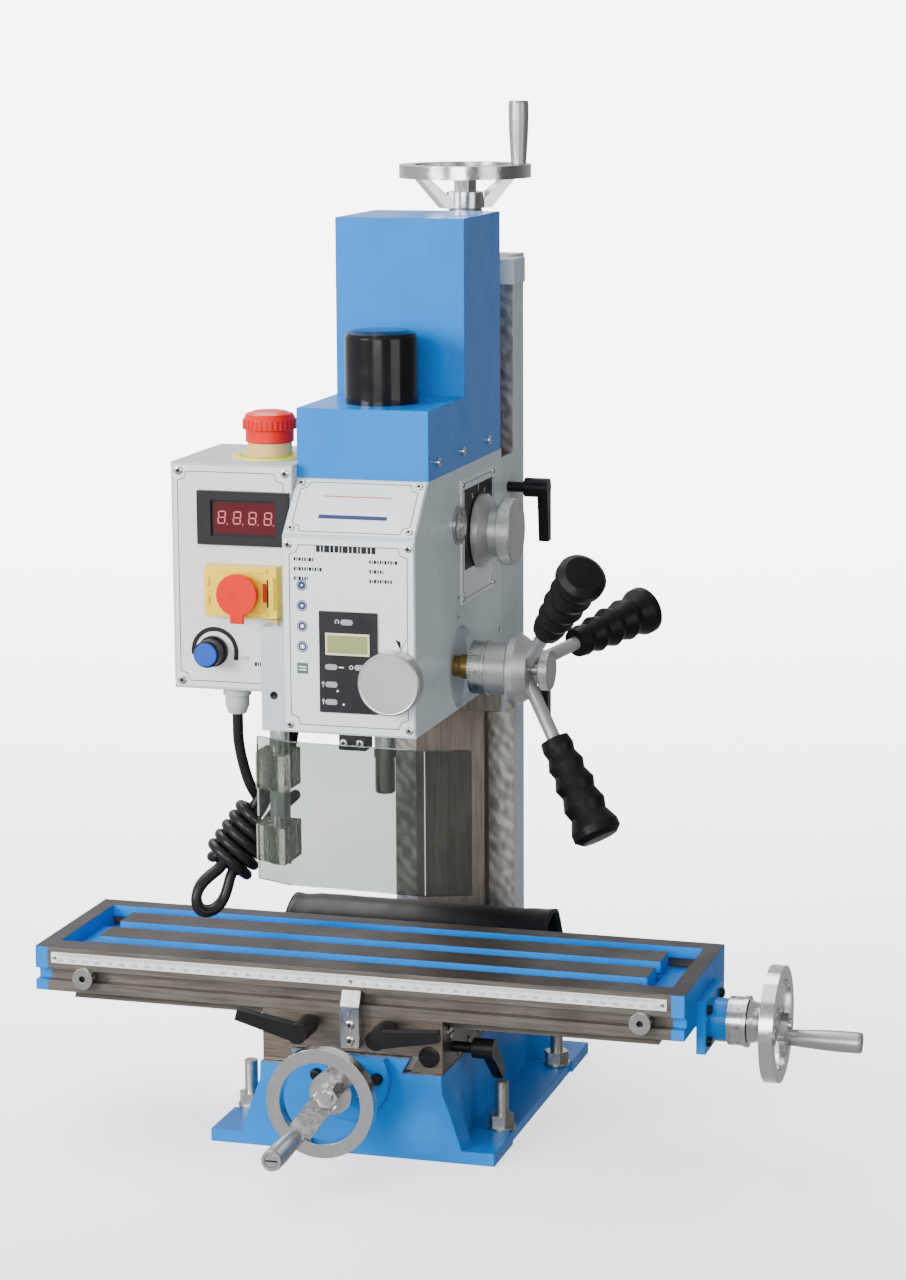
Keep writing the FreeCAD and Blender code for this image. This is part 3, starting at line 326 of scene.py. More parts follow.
def make_table_material():
    """Ground top with blue recesses and blue ends; the sides are machined iron."""
    g = Graph("table_surface")
    x, y, z = g.axes()
    blue_from, top_edge = 0.2403, 0.13935
    ends = g.above(g.math("ABSOLUTE", x), blue_from)
    low = g.below(z, top_edge)
    recess = g.times(g.inside(y, -0.1193, -0.0122), g.inside(z, 0.1225, top_edge))
    blue = g.times(low, g.math("MAXIMUM", ends, recess))
    marks = g.noise(300, 3, (0.08, 1.6, 1.6))
    patches = g.noise(22, 6)
    top = g.shades(marks, IRON, 0.28, 0.58)
    side_tone = (0.135, 0.12, 0.105)
    side = g.shades(marks, side_tone, 0.7, 1.25)
    worn = g.mix(g.between(patches, 0.45, 0.75, 0, 0.45), g.mix(low, top, side), tone(IRON, 0.45))
    painted = g.shades(g.noise(14, 3), BLUE, 0.9, 1.08)
    g.set(Base_Color=g.mix(blue, worn, painted))
    g.set(Metallic=g.times(g.math("SUBTRACT", 1.0, blue), 0.45))
    g.set(Roughness=g.spread(patches, 0.34, 0.5), IOR=1.25)
    g.surface(marks, 0.10, 0.0003, 0.0007)
    return g.material


def make_base_material():
    """Blue casting with bright dovetail ways."""
    g = Graph("base_surface")
    y, z = g.axes()[1:]
    foot, front, back = 0.0649, -0.1405, 0.0900
    way = g.times(g.above(z, foot), g.inside(y, front, back))
    painted = g.shades(g.noise(10, 3), BLUE, 0.9, 1.07)
    chips = g.between(g.noise(420, 3), 0.70, 0.76)
    painted = g.mix(g.times(chips, 0.5), painted, tone(BLUE, 0.35))
    ground, flake = scraped(g, (0.40, 0.38, 0.35), (0.16, 0.145, 0.125))
    g.set(Base_Color=g.mix(way, painted, ground), Metallic=g.times(way, 0.8))
    g.set(Roughness=g.spread(g.noise(45, 4), 0.27, 0.40), IOR=1.27)
    cast = g.add(g.noise(170, 3), g.times(flake, g.times(way, 0.3)))
    g.surface(cast, 0.22, 0.0006, 0.0016)
    return g.material


def make_column_material():
    """Painted casting with hand-flaked ways beside a plain brown dovetail."""
    g = Graph("column_surface")
    x, y = g.axes()[:2]
    across = g.math("ABSOLUTE", x)
    face, half_width, half_dovetail = 0.13552, 0.04965, 0.0286
    front = g.times(g.below(y, face), g.below(across, half_width))
    ways = g.above(across, half_dovetail)
    painted = g.shades(g.noise(9, 3), PALE, 0.85, 0.98)
    hatch = g.node("ShaderNodeTexWave", Vector=g.place, Scale=46.0, Distortion=6.0, Detail=2.0)
    hatch.wave_type = "BANDS"
    hatch.bands_direction = "DIAGONAL"
    flaked, flake = scraped(g, (0.52, 0.50, 0.46), (0.25, 0.23, 0.20))
    flaked = g.mix(g.between(hatch.outputs["Fac"], 0.35, 0.65, 0, 0.5), flaked, (0.20, 0.18, 0.155))
    marks = g.noise(240, 4, (1.8, 1, 0.1))
    brown = g.mix(g.spread(marks), (0.15, 0.125, 0.10), (0.24, 0.205, 0.17))
    brown = g.mix(g.between(g.noise(24, 5), 0.45, 0.75, 0, 0.4), brown, (0.12, 0.10, 0.08))
    g.set(Base_Color=g.mix(front, painted, g.mix(ways, brown, flaked)))
    g.set(Metallic=g.times(front, 0.65), IOR=1.3)
    g.set(Roughness=g.spread(g.noise(45, 4), 0.30, 0.45))
    height = g.add(g.noise(200, 3), g.times(flake, g.times(front, 0.4)))
    g.surface(height, 0.16, 0.0005, 0.001)
    return g.material


def make_gib_material():
    """Grey steel gibs and bronze nuts."""
    g = Graph("gibs_and_nuts_surface")
    x, y, z = g.axes()
    saddle_gib_side, saddle_gib_top, table_gib_back = 0.035, 0.08, -0.110
    low = g.times(g.above(x, saddle_gib_side), g.below(z, saddle_gib_top))
    gib = g.math("MAXIMUM", low, g.below(y, table_gib_back))
    marks = g.noise(300, 3, (0.3, 0.3, 1.5))
    steel = g.mix(g.spread(marks), (0.24, 0.23, 0.215), (0.36, 0.345, 0.32))
    bronze = g.mix(g.spread(marks), (0.50, 0.32, 0.12), (0.64, 0.43, 0.18))
    g.set(Base_Color=g.mix(gib, bronze, steel), Metallic=0.9)
    g.set(Roughness=g.spread(g.noise(60, 4), 0.30, 0.44))
    g.surface(marks, 0.12, 0.0003, 0.0004)
    return g.material


def make_plate_material():
    """Brushed grey plates on the head and a paler printed panel on the control box."""
    g = Graph("label_plate_surface")
    x = g.axes()[0]
    panel_edge = -0.0505
    panel = g.below(x, panel_edge)
    marks = g.noise(420, 3, (0.12, 1, 1.6))
    cloudy = g.spread(g.noise(11, 3))
    grey = g.mix(cloudy, (0.74, 0.79, 0.80), (0.82, 0.86, 0.87))
    light = g.mix(cloudy, (0.68, 0.71, 0.73), (0.76, 0.78, 0.80))
    colour = g.mix(panel, grey, light)
    g.set(Base_Color=g.mix(g.spread(marks, 0, 0.12), colour, (0.30, 0.32, 0.34)))
    g.set(Metallic=g.between(panel, 0, 1, 0.35, 0.1), IOR=1.35)
    g.set(Roughness=g.spread(marks, 0.34, 0.44))
    g.surface(marks, 0.06, 0.0002, 0.0003)
    return g.material


def make_slide_front_material():
    """Head slide: brushed brown iron on its front face, painted at its sides."""
    g = Graph("head_slide_surface")
    x = g.axes()[0]
    half_width = 0.0498
    side = g.above(g.math("ABSOLUTE", x), half_width)
    marks = g.noise(240, 4, (1.6, 1, 0.12))
    iron = g.mix(g.spread(marks), (0.13, 0.112, 0.092), (0.26, 0.23, 0.195))
    patches = g.between(g.noise(30, 5), 0.4, 0.7, 0, 0.5)
    iron = g.mix(patches, iron, (0.11, 0.095, 0.08))
    painted = g.shades(g.noise(9, 3), PALE, 0.88, 1.0)
    g.set(Base_Color=g.mix(side, iron, painted))
    g.set(Metallic=g.times(g.math("SUBTRACT", 1.0, side), 0.7))
    g.set(Roughness=g.spread(g.noise(60, 4), 0.34, 0.48), IOR=1.3)
    g.surface(marks, 0.15, 0.0004, 0.0009)
    return g.material


def make_rod_material():
    """Bright aluminium rod seen inside clear cast-acrylic clamps."""
    g = Graph("guard_rod_surface")
    x, y, z = g.axes()
    rod_x, rod_y, rod_radius, clamp_top = -0.0575, -0.1235, 0.00725, 0.31
    dx, dy = g.math("SUBTRACT", x, rod_x), g.math("SUBTRACT", y, rod_y)
    far = g.math("SQRT", g.add(g.times(dx, dx), g.times(dy, dy)))
    clear = g.times(g.above(far, rod_radius), g.below(z, clamp_top))
    marks = g.noise(300, 3, (1, 1, 0.1))
    rod = g.mix(g.spread(marks), (0.62, 0.63, 0.64), (0.82, 0.83, 0.84))
    glue = g.mix(g.between(g.noise(70, 5), 0.4, 0.7), (0.86, 0.83, 0.74), (0.62, 0.58, 0.48))
    g.set(Base_Color=g.mix(clear, rod, glue), Metallic=g.math("SUBTRACT", 1.0, clear))
    g.set(Transmission_Weight=g.times(clear, 0.75), IOR=1.49)
    g.set(Roughness=g.spread(marks, 0.16, 0.30))
    g.surface(g.noise(90, 3), 0.25, 0.0006)
    return g.material


def make_guard_material():
    """Smoke-tinted polycarbonate with faint scratches and dust."""
    g = Graph("guard_sheet_surface")
    scratches = g.noise(240, 5, (0.1, 1, 1.8))
    tint = g.mix(g.spread(g.noise(8, 3)), (0.20, 0.23, 0.21), (0.26, 0.29, 0.265))
    g.set(Base_Color=tint, Transmission_Weight=0.96, IOR=1.18)
    g.set(Roughness=g.between(scratches, 0.55, 0.8, 0.015, 0.12))
    g.surface(g.noise(30, 2), 0.02, 0.0003)
    return g.material


def make_estop_material():
    """Yellow legend ring with an amber collar above it."""
    g = Graph("estop_base_surface")
    z = g.axes()[2]
    ring_top = 0.5082
    collar = g.above(z, ring_top)
    cloudy = g.noise(40, 4)
    ring = g.mix(cloudy, (0.72, 0.72, 0.03), (0.84, 0.82, 0.06))
    amber = g.mix(cloudy, (0.62, 0.34, 0.11), (0.84, 0.55, 0.24))
    g.set(Base_Color=g.mix(collar, ring, amber), Subsurface_Weight=0.1)
    g.set(Roughness=g.spread(g.noise(90, 4), 0.3, 0.45))
    g.surface(g.noise(300, 2), 0.08, 0.0003, 0.0004)
    return g.material


def make_feed_material():
    """Grey painted hub with bright dial and arms."""
    g = Graph("feed_hub_surface")
    x = g.axes()[0]
    dial_end, brass_end = 0.0723, 0.0590
    bright = g.below(x, dial_end)
    brass = g.below(x, brass_end)
    marks = g.noise(380, 3, (1.6, 0.3, 0.3))
    steel = g.mix(g.spread(marks), (0.42, 0.42, 0.41), (0.60, 0.60, 0.58))
    hub = g.mix(g.spread(g.noise(25, 4)), (0.36, 0.365, 0.365), (0.48, 0.485, 0.485))
    colour = g.mix(bright, hub, steel)
    g.set(Base_Color=g.mix(brass, colour, (0.40, 0.26, 0.09)))
    g.set(Metallic=g.add(g.times(bright, 0.5), 0.5))
    g.set(Roughness=g.spread(marks, 0.28, 0.42))
    g.surface(marks, 0.12, 0.0003, 0.0006)
    return g.material


M = {
    "blue": paint("blue_enamel", BLUE, 0.24),
    "pale": paint("grey_enamel", PALE, 0.30),
    "box": paint("box_enamel", (0.50, 0.53, 0.55), 0.36),
    "iron": metal("machined_iron", (0.21, 0.175, 0.14), 0.38, (0.1, 1.4, 1.4), 0.25),
    "bronze": metal("bronze", (0.60, 0.40, 0.16), 0.33),
    "steel": metal("turned_steel", STEEL, 0.27, (1, 1, 1), 0.08, 600),
    "bright": metal("bright_steel", (0.50, 0.495, 0.48), 0.22, (1, 1, 0.2), 0.07),
    "knob": metal("knob_grey", (0.47, 0.475, 0.47), 0.36, (1, 1, 1), 0.06, 800, metallic=0.75),
    "zinc": metal("zinc_steel", (0.50, 0.475, 0.42), 0.33, (1, 1, 4), 0.25, 500),
    "wheel": metal("polished_aluminium", (0.62, 0.62, 0.61), 0.18, (1, 1, 1), 0.05, 300),
    "grip": metal("grip_grey", (0.38, 0.385, 0.39), 0.33, (1, 1, 1), 0.06, 500, metallic=0.7),
    "lever": plastic("lever_black", (0.008, 0.008, 0.009), 0.33),
    "cap": plastic("cap_black", (0.006, 0.006, 0.007), 0.16, 0.0012, 200, 0.05, coat=0.25),
    "rubber": plastic("black_rubber", (0.006, 0.006, 0.0065), 0.38, 0.001, 420, 0.12),
    "cover": plastic("cover_rubber", (0.006, 0.006, 0.008), 0.34, 0.0008, 300, 0.2),
    "cord": plastic("cord_sheath", (0.012, 0.012, 0.013), 0.30, 0.0, 900, 0.1),
    "plate": make_plate_material(),
    "black": plastic("panel_black", (0.018, 0.018, 0.020), 0.36),
    "window": plastic("led_window", (0.075, 0.006, 0.010), 0.12, 0.0, 300, 0.02, coat=0.6),
    "segment": plastic("led_segment", (0.62, 0.16, 0.18), 0.45, 0.0),
    "lcd": plastic("lcd_glass", (0.27, 0.29, 0.12), 0.16, 0.0, 200, 0.02, coat=0.4),
    "cream": plastic("lcd_surround", (0.66, 0.62, 0.42), 0.5),
    "key": plastic("membrane_key", (0.30, 0.31, 0.33), 0.42),
    "white": plastic("white_ink", (0.80, 0.80, 0.80), 0.5, 0.0),
    # Black print, and also the painted shade in screw sockets, slots and holes.
    "ink": plastic("black_ink_and_painted_shade", (0.012, 0.012, 0.014), 0.45, 0.0),
    "badge": plastic("badge_blue", (0.035, 0.045, 0.14), 0.45, 0.0),
    "green": plastic("badge_green", (0.06, 0.16, 0.10), 0.45, 0.0),
    "yellow": plastic("switch_yellow", (0.87, 0.62, 0.035), 0.30, 0.0009, coat=0.2),
    "red": plastic("stop_red", (0.70, 0.012, 0.006), 0.30, 0.0010, coat=0.2),
    "knob_blue": plastic("knob_blue", (0.015, 0.075, 0.42), 0.38),
    "nylon": plastic("gland_nylon", (0.46, 0.47, 0.45), 0.42),
    "motor": paint("motor_enamel", (0.035, 0.036, 0.038), 0.4),
    "rule": plastic("rule_white", (0.72, 0.73, 0.72), 0.34, 0.0),
    "chrome": metal("chrome_screw", (0.72, 0.71, 0.69), 0.15, (1, 1, 1), 0.05, 500),
    "glass": plastic("sight_glass", (0.62, 0.63, 0.58), 0.08, 0.0, coat=0.8),
    "table": make_table_material(),
    "base": make_base_material(),
    "column": make_column_material(),
    "gibs": make_gib_material(),
    "slide": make_slide_front_material(),
    "rod": make_rod_material(),
    "guard": make_guard_material(),
    "estop": make_estop_material(),
    "feed": make_feed_material(),
}

MATERIAL_NODES = {
    "blue": "y_bearing_flange x_bearing_bracket belt_cover",
    "pale": "column_cap head_casting guard_housing",
    "box": "control_box",
    "iron": "saddle",
    "bronze": "z_nut",
    "gibs": "gibs_and_nuts",
    "steel": "x_screw y_screw z_screw quill sleeve_gear idler_gear motor_gear travel_stops",
    "bright": "pointer_block spindle arbor_and_drawbar x_dial y_dial",
    "knob": "selector_knob fine_feed_knob",
    "zinc": "mounting_studs",
    "wheel": "x_handwheel y_handwheel z_handwheel",
    "grip": "x_grip y_grip z_grip feed_lock_knob",
    "lever": "table_lock_left table_lock_right saddle_lock head_lock_upper head_lock_lower speed_knob",
    "cap": "drawbar_cap",
    "rubber": "feed_grips mains_plug",
    "cover": "way_cover",
    "cord": "mains_cord cord_hank",
    "plate": "label_plates",
    "black": "display_units",
    "yellow": "switch_body",
    "red": "stop_paddle estop_button",
    "nylon": "cord_gland",
    "motor": "drive_motor",
    "table": "table", "base": "base", "column": "column", "slide": "head_slide", "rod": "guard_rod",
    "guard": "guard_sheet", "estop": "estop_base", "feed": "feed_hub",
}


def dress_cad():
    for key, names in MATERIAL_NODES.items():
        for name in names.split():
            mesh = CAD[name].data
            mesh.materials.clear()
            mesh.materials.append(M[key])


# ---- small shapes, all in millimetres

def shift(x, y, z):
    return Matrix.Translation((x, y, z))


def frame_at(origin, normal):
    """Matrix whose local z is the normal and whose local y points up as far as it can."""
    z = Vector(normal).normalized()
    x = Vector(UP).cross(z)
    if x.length < 1e-6:
        x = Vector((0, 1, 0)).cross(z)
    x.normalize()
    y = z.cross(x)
    turn = Matrix((x, y, z)).transposed().to_4x4()
    return Matrix.Translation(origin) @ turn


class Piece:
    """One mesh object that collects many simple shapes of one material."""

    def __init__(self, name, material, body, smooth=30):
        self.name, self.material, self.body, self.smooth = name, M[material], body, smooth
        self.points, self.faces = [], []

    def add(self, points, faces, matrix=Matrix.Identity(4)):
        start = len(self.points)
        self.points += [matrix @ Vector(p) for p in points]
        self.faces += [[start + i for i in face] for face in faces]

    def box(self, low, high, matrix):
        (x0, y0, z0), (x1, y1, z1) = low, high
        corners = [(x, y, z) for z in (z0, z1) for y in (y0, y1) for x in (x0, x1)]
        faces = [(0, 2, 3, 1), (4, 5, 7, 6), (0, 1, 5, 4), (2, 6, 7, 3), (0, 4, 6, 2), (1, 3, 7, 5)]
        self.add(corners, faces, matrix)

    def lathe(self, profile, matrix, steps=40):
        """Turn (radius, height) points about local z."""
        points, faces = [], []
        for i in range(steps):
            a = 2 * math.pi * i / steps
            points += [(r * math.cos(a), r * math.sin(a), h) for r, h in profile]
        n = len(profile)
        for i in range(steps):
            j = (i + 1) % steps
            faces += [(i * n + k, j * n + k, j * n + k + 1, i * n + k + 1) for k in range(n - 1)]
        self.add(points, faces, matrix)

    def disc(self, radius, thick, matrix, steps=40):
        self.lathe([(0, 0), (radius, 0), (radius, thick), (0, thick)], matrix, steps)

    def prism(self, outline, thick, matrix):
        n = len(outline)
        points = [(x, y, 0) for x, y in outline] + [(x, y, thick) for x, y in outline]
        faces = [tuple(range(n - 1, -1, -1)), tuple(range(n, 2 * n))]
        faces += [(i, (i + 1) % n, n + (i + 1) % n, n + i) for i in range(n)]
        self.add(points, faces, matrix)

    def path(self, line, width, thick, matrix, closed=False):
        """Flat inked line along a polyline."""
        following = line[1:] + line[:1] if closed else line[1:]
        for a, b in zip(line, following):
            a, b = Vector((*a, 0)), Vector((*b, 0))
            along = (b - a).normalized() * (width / 2)
            side = Vector((-along.y, along.x, 0))
            self.prism([(p.x, p.y) for p in (a - along - side, b + along - side, b + along + side,
                                             a - along + side)], thick, matrix)

    def arc(self, radius, width, start, end, thick, matrix, steps=28):
        angles = [math.radians(start + (end - start) * i / steps) for i in range(steps + 1)]
        outer = [(radius + width / 2, a) for a in angles]
        inner = [(radius - width / 2, a) for a in angles]
        for k in range(steps):
            quad = [outer[k], outer[k + 1], inner[k + 1], inner[k]]
            self.prism([(r * math.cos(a), r * math.sin(a)) for r, a in quad], thick, matrix)

    def text(self, words, size, matrix):
        curve = bpy.data.curves.new("letters", "FONT")
        curve.body, curve.size, curve.align_x, curve.align_y = words, size, "CENTER", "CENTER"
        curve.resolution_u = 2
        curve.extrude = 0.04
        maker = bpy.data.objects.new("letters", curve)
        link(maker)
        bpy.context.view_layer.update()
        mesh = maker.evaluated_get(bpy.context.evaluated_depsgraph_get()).to_mesh()
        self.add([v.co[:] for v in mesh.vertices], [list(p.vertices) for p in mesh.polygons], matrix)
        bpy.data.objects.remove(maker)
        bpy.data.curves.remove(curve)

    def make(self):
        mesh = bpy.data.meshes.new(self.name)
        mesh.from_pydata([p * MM for p in self.points], [], self.faces)
        mesh.validate()
        mesh.update()
        mesh.shade_smooth()
        mesh.set_sharp_from_angle(angle=math.radians(self.smooth))
        mesh.materials.append(self.material)
        obj = bpy.data.objects.new(self.name, mesh)
        link(obj)
        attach(obj, self.body)
        return obj


def make_all(*pieces):
    for piece in pieces:
        piece.make()


def screw(heads, socket_shades, origin, normal, radius, high=1.6, kind="hex"):
    """Screw head, domed or flat, with its drive recess shown as a thin black patch of painted shade."""
    matrix = frame_at(origin, normal)
    heads.lathe([(0, 0), (radius, 0), (radius, high * 0.55), (radius * 0.82, high * 0.9),
                 (radius * 0.55, high), (0, high)], matrix, 24)
    top = matrix @ shift(0, 0, high * 0.93)
    # The recess is not cut into the head: the socket piece is painted shade laid on top.
    if kind == "hex":
        socket_shades.disc(radius * 0.45, 0.2, top, 6)
    elif kind == "cross":
        socket_shades.box((-radius * 0.5, -radius * 0.11, 0), (radius * 0.5, radius * 0.11, 0.25), top)
        socket_shades.box((-radius * 0.11, -radius * 0.5, 0), (radius * 0.11, radius * 0.5, 0.25), top)
    else:
        socket_shades.box((-radius * 0.9, -radius * 0.13, 0), (radius * 0.9, radius * 0.13, 0.25), top)


def notched(width, height, notch):
    """Rectangle whose corners are cut back round the screws."""
    w, h, cut = width / 2, height / 2, notch * 0.75
    right = [(w - notch, -h), (w - cut, -h + cut), (w, -h + notch), (w, h - notch), (w - cut, h - cut),
             (w - notch, h)]
    return right + [(-x, -y) for x, y in right]


# ---- front of the head

def head_front():
    ink = Piece("front_lines", "ink", "head")
    heads = Piece("front_screws", "chrome", "head")
    # Black patches on the screw heads are painted shade in their sockets.
    socket_shades = Piece("front_screw_socket_shades", "ink", "head")
    lower = frame_at((0, HEAD_PLATE, 387), FRONT)
    ink.path(notched(89, 132, 7), 0.55, PRINT, lower, True)
    for x in (-45.3, 45.3):
        for z in (320.5, 453):
            screw(heads, socket_shades, (x, HEAD_PLATE, z), FRONT, 2.9)
    rise, run = 38.0, 35.0
    out = Vector((0, -rise, run)).normalized()
    middle = Vector((0, -115, 477.5)) + out * 1.25
    upper = frame_at(middle, out)
    ink.path(notched(89, 43, 6.5), 0.55, PRINT, upper, True)
    for x in (-44.5, 44.5):
        for h in (-19.8, 19.8):
            screw(heads, socket_shades, upper @ Vector((x, h, 0)), out, 2.8)
    emblem = Piece("plate_red_line", "red", "head")
    emblem.box((-26, 9.2, 0), (26, 10.0, PRINT), upper)
    badge = Piece("plain_badges", "badge", "head")
    badge.box((-26, -10.0, 0), (26, -6.6, PRINT), upper)
    white = Piece("badge_marks", "white", "head")
    for i in range(4):
        place = frame_at((-35.2, HEAD_PLATE, 423.5 - 15 * i), FRONT)
        badge.disc(4.1, 0.06, place)
        ring = place @ shift(0, 0, 0.06)
        white.arc(3.2, 0.28, 0, 360, 0.04, ring)
        white.disc(0.8 + 0.3 * i, PRINT, ring)
    green = Piece("square_badge", "green", "head")
    square = frame_at((-35.2, HEAD_PLATE, 362.5), FRONT)
    green.box((-4.2, -4, 0), (4.2, 4, 0.06), square)
    white.box((-2.8, 0.6, 0.06), (2.8, 1.6, 0.1), square)
    white.box((-2.8, -1.6, 0.06), (2.8, -0.6, 0.1), square)
    for z, left, right in ((442.5, 17, 22), (435.5, 23, 14), (428.5, 13, 18)):
        dashes(ink, -41, -41 + left, z, 2.6, HEAD_PLATE)
        dashes(ink, 16, 16 + right, z, 2.6, HEAD_PLATE)
    dashes(ink, -24, 24, 450.5, 4.6, HEAD_PLATE)
    mark = frame_at((39, HEAD_PLATE, 382.5), FRONT)
    ink.prism([(-4, 4.6), (0.4, -4.2), (0.2, 2.8)], 0.06, mark)
    ink.path([(0.6, -4.0), (4.2, 4.8)], 0.45, 0.06, mark)
    hole = Piece("guard_housing_screw", "lever", "head")
    hole.lathe([(0, 0), (2.9, 0), (2.9, 0.5), (2.4, 0.7), (1.4, 0.2), (0, 0.2)],
               frame_at((-58.1, -132.5, 341), FRONT), 24)
    make_all(ink, heads, socket_shades, emblem, badge, white, green, hole)


def dashes(piece, left, right, z, high, y):
    """Row of plain bars in the place of a printed line."""
    place = frame_on_front(y)
    drawn_high = 2.6
    widths = [wide * high / drawn_high for wide in (2.1, 1.4, 2.6, 1.8)]
    x, count = left, 0
    while x + widths[count % 4] <= right:
        wide = widths[count % 4]
        piece.box((x, z - high / 2, 0), (x + wide - 0.7, z + high / 2, PRINT), place)
        x += wide
        count += 1


def depth_readout():
    plane = frame_on_front(READOUT_FACE)
    cream = Piece("lcd_surround", "cream", "head")
    cream.box((-17.2, 373.6, 0), (16.2, 389.8, 0.25), plane)
    lcd = Piece("lcd_window", "lcd", "head")
    lcd.box((-15.8, 375.2, 0.1), (14.8, 388.2, 0.35), plane)
    keys = Piece("membrane_keys", "key", "head")
    marks = Piece("key_marks", "white", "head")
    for x, z in ((-0.8, 398), (-12.9, 364.8), (9.4, 365.2), (-12.8, 351.9), (-13.0, 339)):
        rounded_key(keys, x, z, plane)
    for z in (351.9, 339):
        marks.box((-19.4, z - 2.0, 0), (-18.9, z + 2.0, 0.1), plane)
        marks.prism([(-20.3, z + 0.6), (-18.0, z + 0.6), (-19.15, z + 2.3)], 0.1, plane)
    marks.arc(1.4, 0.4, -60, 240, 0.1, plane @ shift(-8.2, 398.2, 0))
    marks.box((-7.4, 364.4, 0), (-3.4, 365.2, 0.1), plane)
    marks.arc(1.3, 0.4, 0, 360, 0.1, plane @ shift(2.2, 365.1, 0))
    marks.disc(0.8, 0.1, plane @ shift(-8.2, 347.3, 0))
    marks.disc(0.8, 0.1, plane @ shift(-3.8, 337.5, 0))
    bracket = Piece("bracket_screws", "chrome", "head")
    # Black patches on the screw heads are painted shade in their slots.
    socket_shades = Piece("bracket_screw_slot_shades", "ink", "head")
    for x in (-4.8, 7.6):
        screw(bracket, socket_shades, (x, -132.6, HEAD_FOOT_SCREWS), FRONT, 3.1, 2.0)
    make_all(cream, lcd, keys, marks, bracket, socket_shades)


def frame_on_front(y):
    """Plane facing the operator whose local x and y are the machine's x and z."""
    return shift(0, y, 0) @ Matrix.Rotation(math.pi / 2, 4, "X")


def rounded_key(piece, x, z, plane):
    """Key with two round ends."""
    corners = []
    for cx, start in ((2.6, -90), (-2.6, 90)):
        for i in range(9):
            a = math.radians(start + 180 * i / 8)
            corners.append((x + cx + 2.1 * math.cos(a), z + 2.1 * math.sin(a)))
    piece.prism(corners, 0.45, plane)


# ---- control box

# the seven bars of a digit: sideways, upwards, and whether the bar lies flat
SEGMENTS = ((0, 4.4, True), (0, -4.4, True), (0, 0, True), (2.6, 2.2, False), (2.6, -2.2, False),
            (-2.6, -2.2, False), (-2.6, 2.2, False))


def control_front():
    plane = frame_on_front(BOX_PLATE)
    ink = Piece("box_lines", "ink", "head")
    shape = [(x - 98.0, z + 422.0) for x, z in notched(82, 156, 7)]
    ink.path(shape, 0.55, PRINT, plane, True)
    heads = Piece("box_screws", "chrome", "head")
    # Black patches on the screw heads are painted shade in their sockets.
    socket_shades = Piece("box_screw_socket_shades", "ink", "head")
    for x in (-138, -55.5):
        for z in (344, 500.5):
            screw(heads, socket_shades, (x, BOX_PLATE, z), FRONT, 3.3)
    window = Piece("speed_window", "window", "head")
    window.box((-109.5, 455.5, 3.6), (-61, 478.5, 3.9), plane)
    digits = Piece("speed_digits", "segment", "head")
    for k in range(4):
        centre = -103.4 + 11.9 * k
        for dx, dz, flat in SEGMENTS:
            lean = dz * 0.12
            half = (2.2, 0.42) if flat else (0.42, 1.85)
            x, z = centre + dx + lean, 467.4 + dz
            digits.box((x - half[0], z - half[1], 3.9), (x + half[0], z + half[1], 3.98), plane)
        digits.disc(0.55, 0.08, plane @ shift(centre + 4.3, 462.6, 3.9), 12)
    ink.arc(16.8, 3.4, -20, 190, PRINT, plane @ shift(-112, 366.5, 0), 40)
    ink.text("0 - 10", 4.2, plane @ shift(-90.5, 362.5, 0.02))
    dashes(ink, -81, -67, 358.5, 3.0, BOX_PLATE)
    knob = Piece("speed_knob_face", "knob_blue", "speed_knob")
    face = frame_at((SPEED_KNOB_X, -125.6, SPEED_KNOB_Z), FRONT)
    knob.lathe([(0, 0), (8.7, 0), (8.7, 0.9), (8.2, 1.3), (0, 1.3)], face)
    pointer = Piece("speed_knob_line", "white", "speed_knob")
    pointer.box((-10.2, -0.5, -9.0), (-9.6, 0.5, -1), face)
    switch = Piece("switch_details", "yellow", "head")
    corners = (((-116.4, 399, 1), (-111, 428, 9)), ((-114.6, 404, 9), (-111, 410, 13)),
               ((-114.6, 418, 9), (-111, 424, 13)), ((-64.6, 402, 11.5), (-60.6, 426, 14)),
               ((-108, 396.4, 11.9), (-66, 399.4, 12.9)), ((-108, 428.6, 11.9), (-66, 431.6, 12.9)))
    for low, high in corners:
        switch.box(low, high, plane)
    start = Piece("start_button", "black", "head")
    start.box((-66.2, 403.5, 11.6), (-64.9, 424, 13.2), plane)
    red = Piece("switch_red_mark", "red", "head")
    red.box((-69.6, 407, 12.0), (-66.8, 421, 12.3), plane)
    make_all(ink, heads, socket_shades, window, digits, knob, pointer, switch, start, red)


def emergency_stop():
    """Ribs of the stop button's cap and the marks on its yellow ring."""
    ribs = Piece("estop_ribs", "red", "estop_button")
    centre = shift(STOP_X, STOP_Y, 0)
    for turn in turns(centre, 32):
        ribs.box((19.0, -0.9, 527.6), (20.15, 0.9, 534.4), turn)
    ribs.make()
    letters = Piece("estop_ring_marks", "ink", "head")
    for i, turn in enumerate(turns(centre, 22)):
        if i % 11 not in (4, 5, 10):
            place = turn @ shift(0, -22, 508.05)
            letters.box((-1.1, -1.4, 0), (-0.5, 1.4, PRINT), place)
            letters.box((0.3, -1.4, 0), (0.9, 1.4, PRINT), place)
    letters.make()


# ---- right side of the head

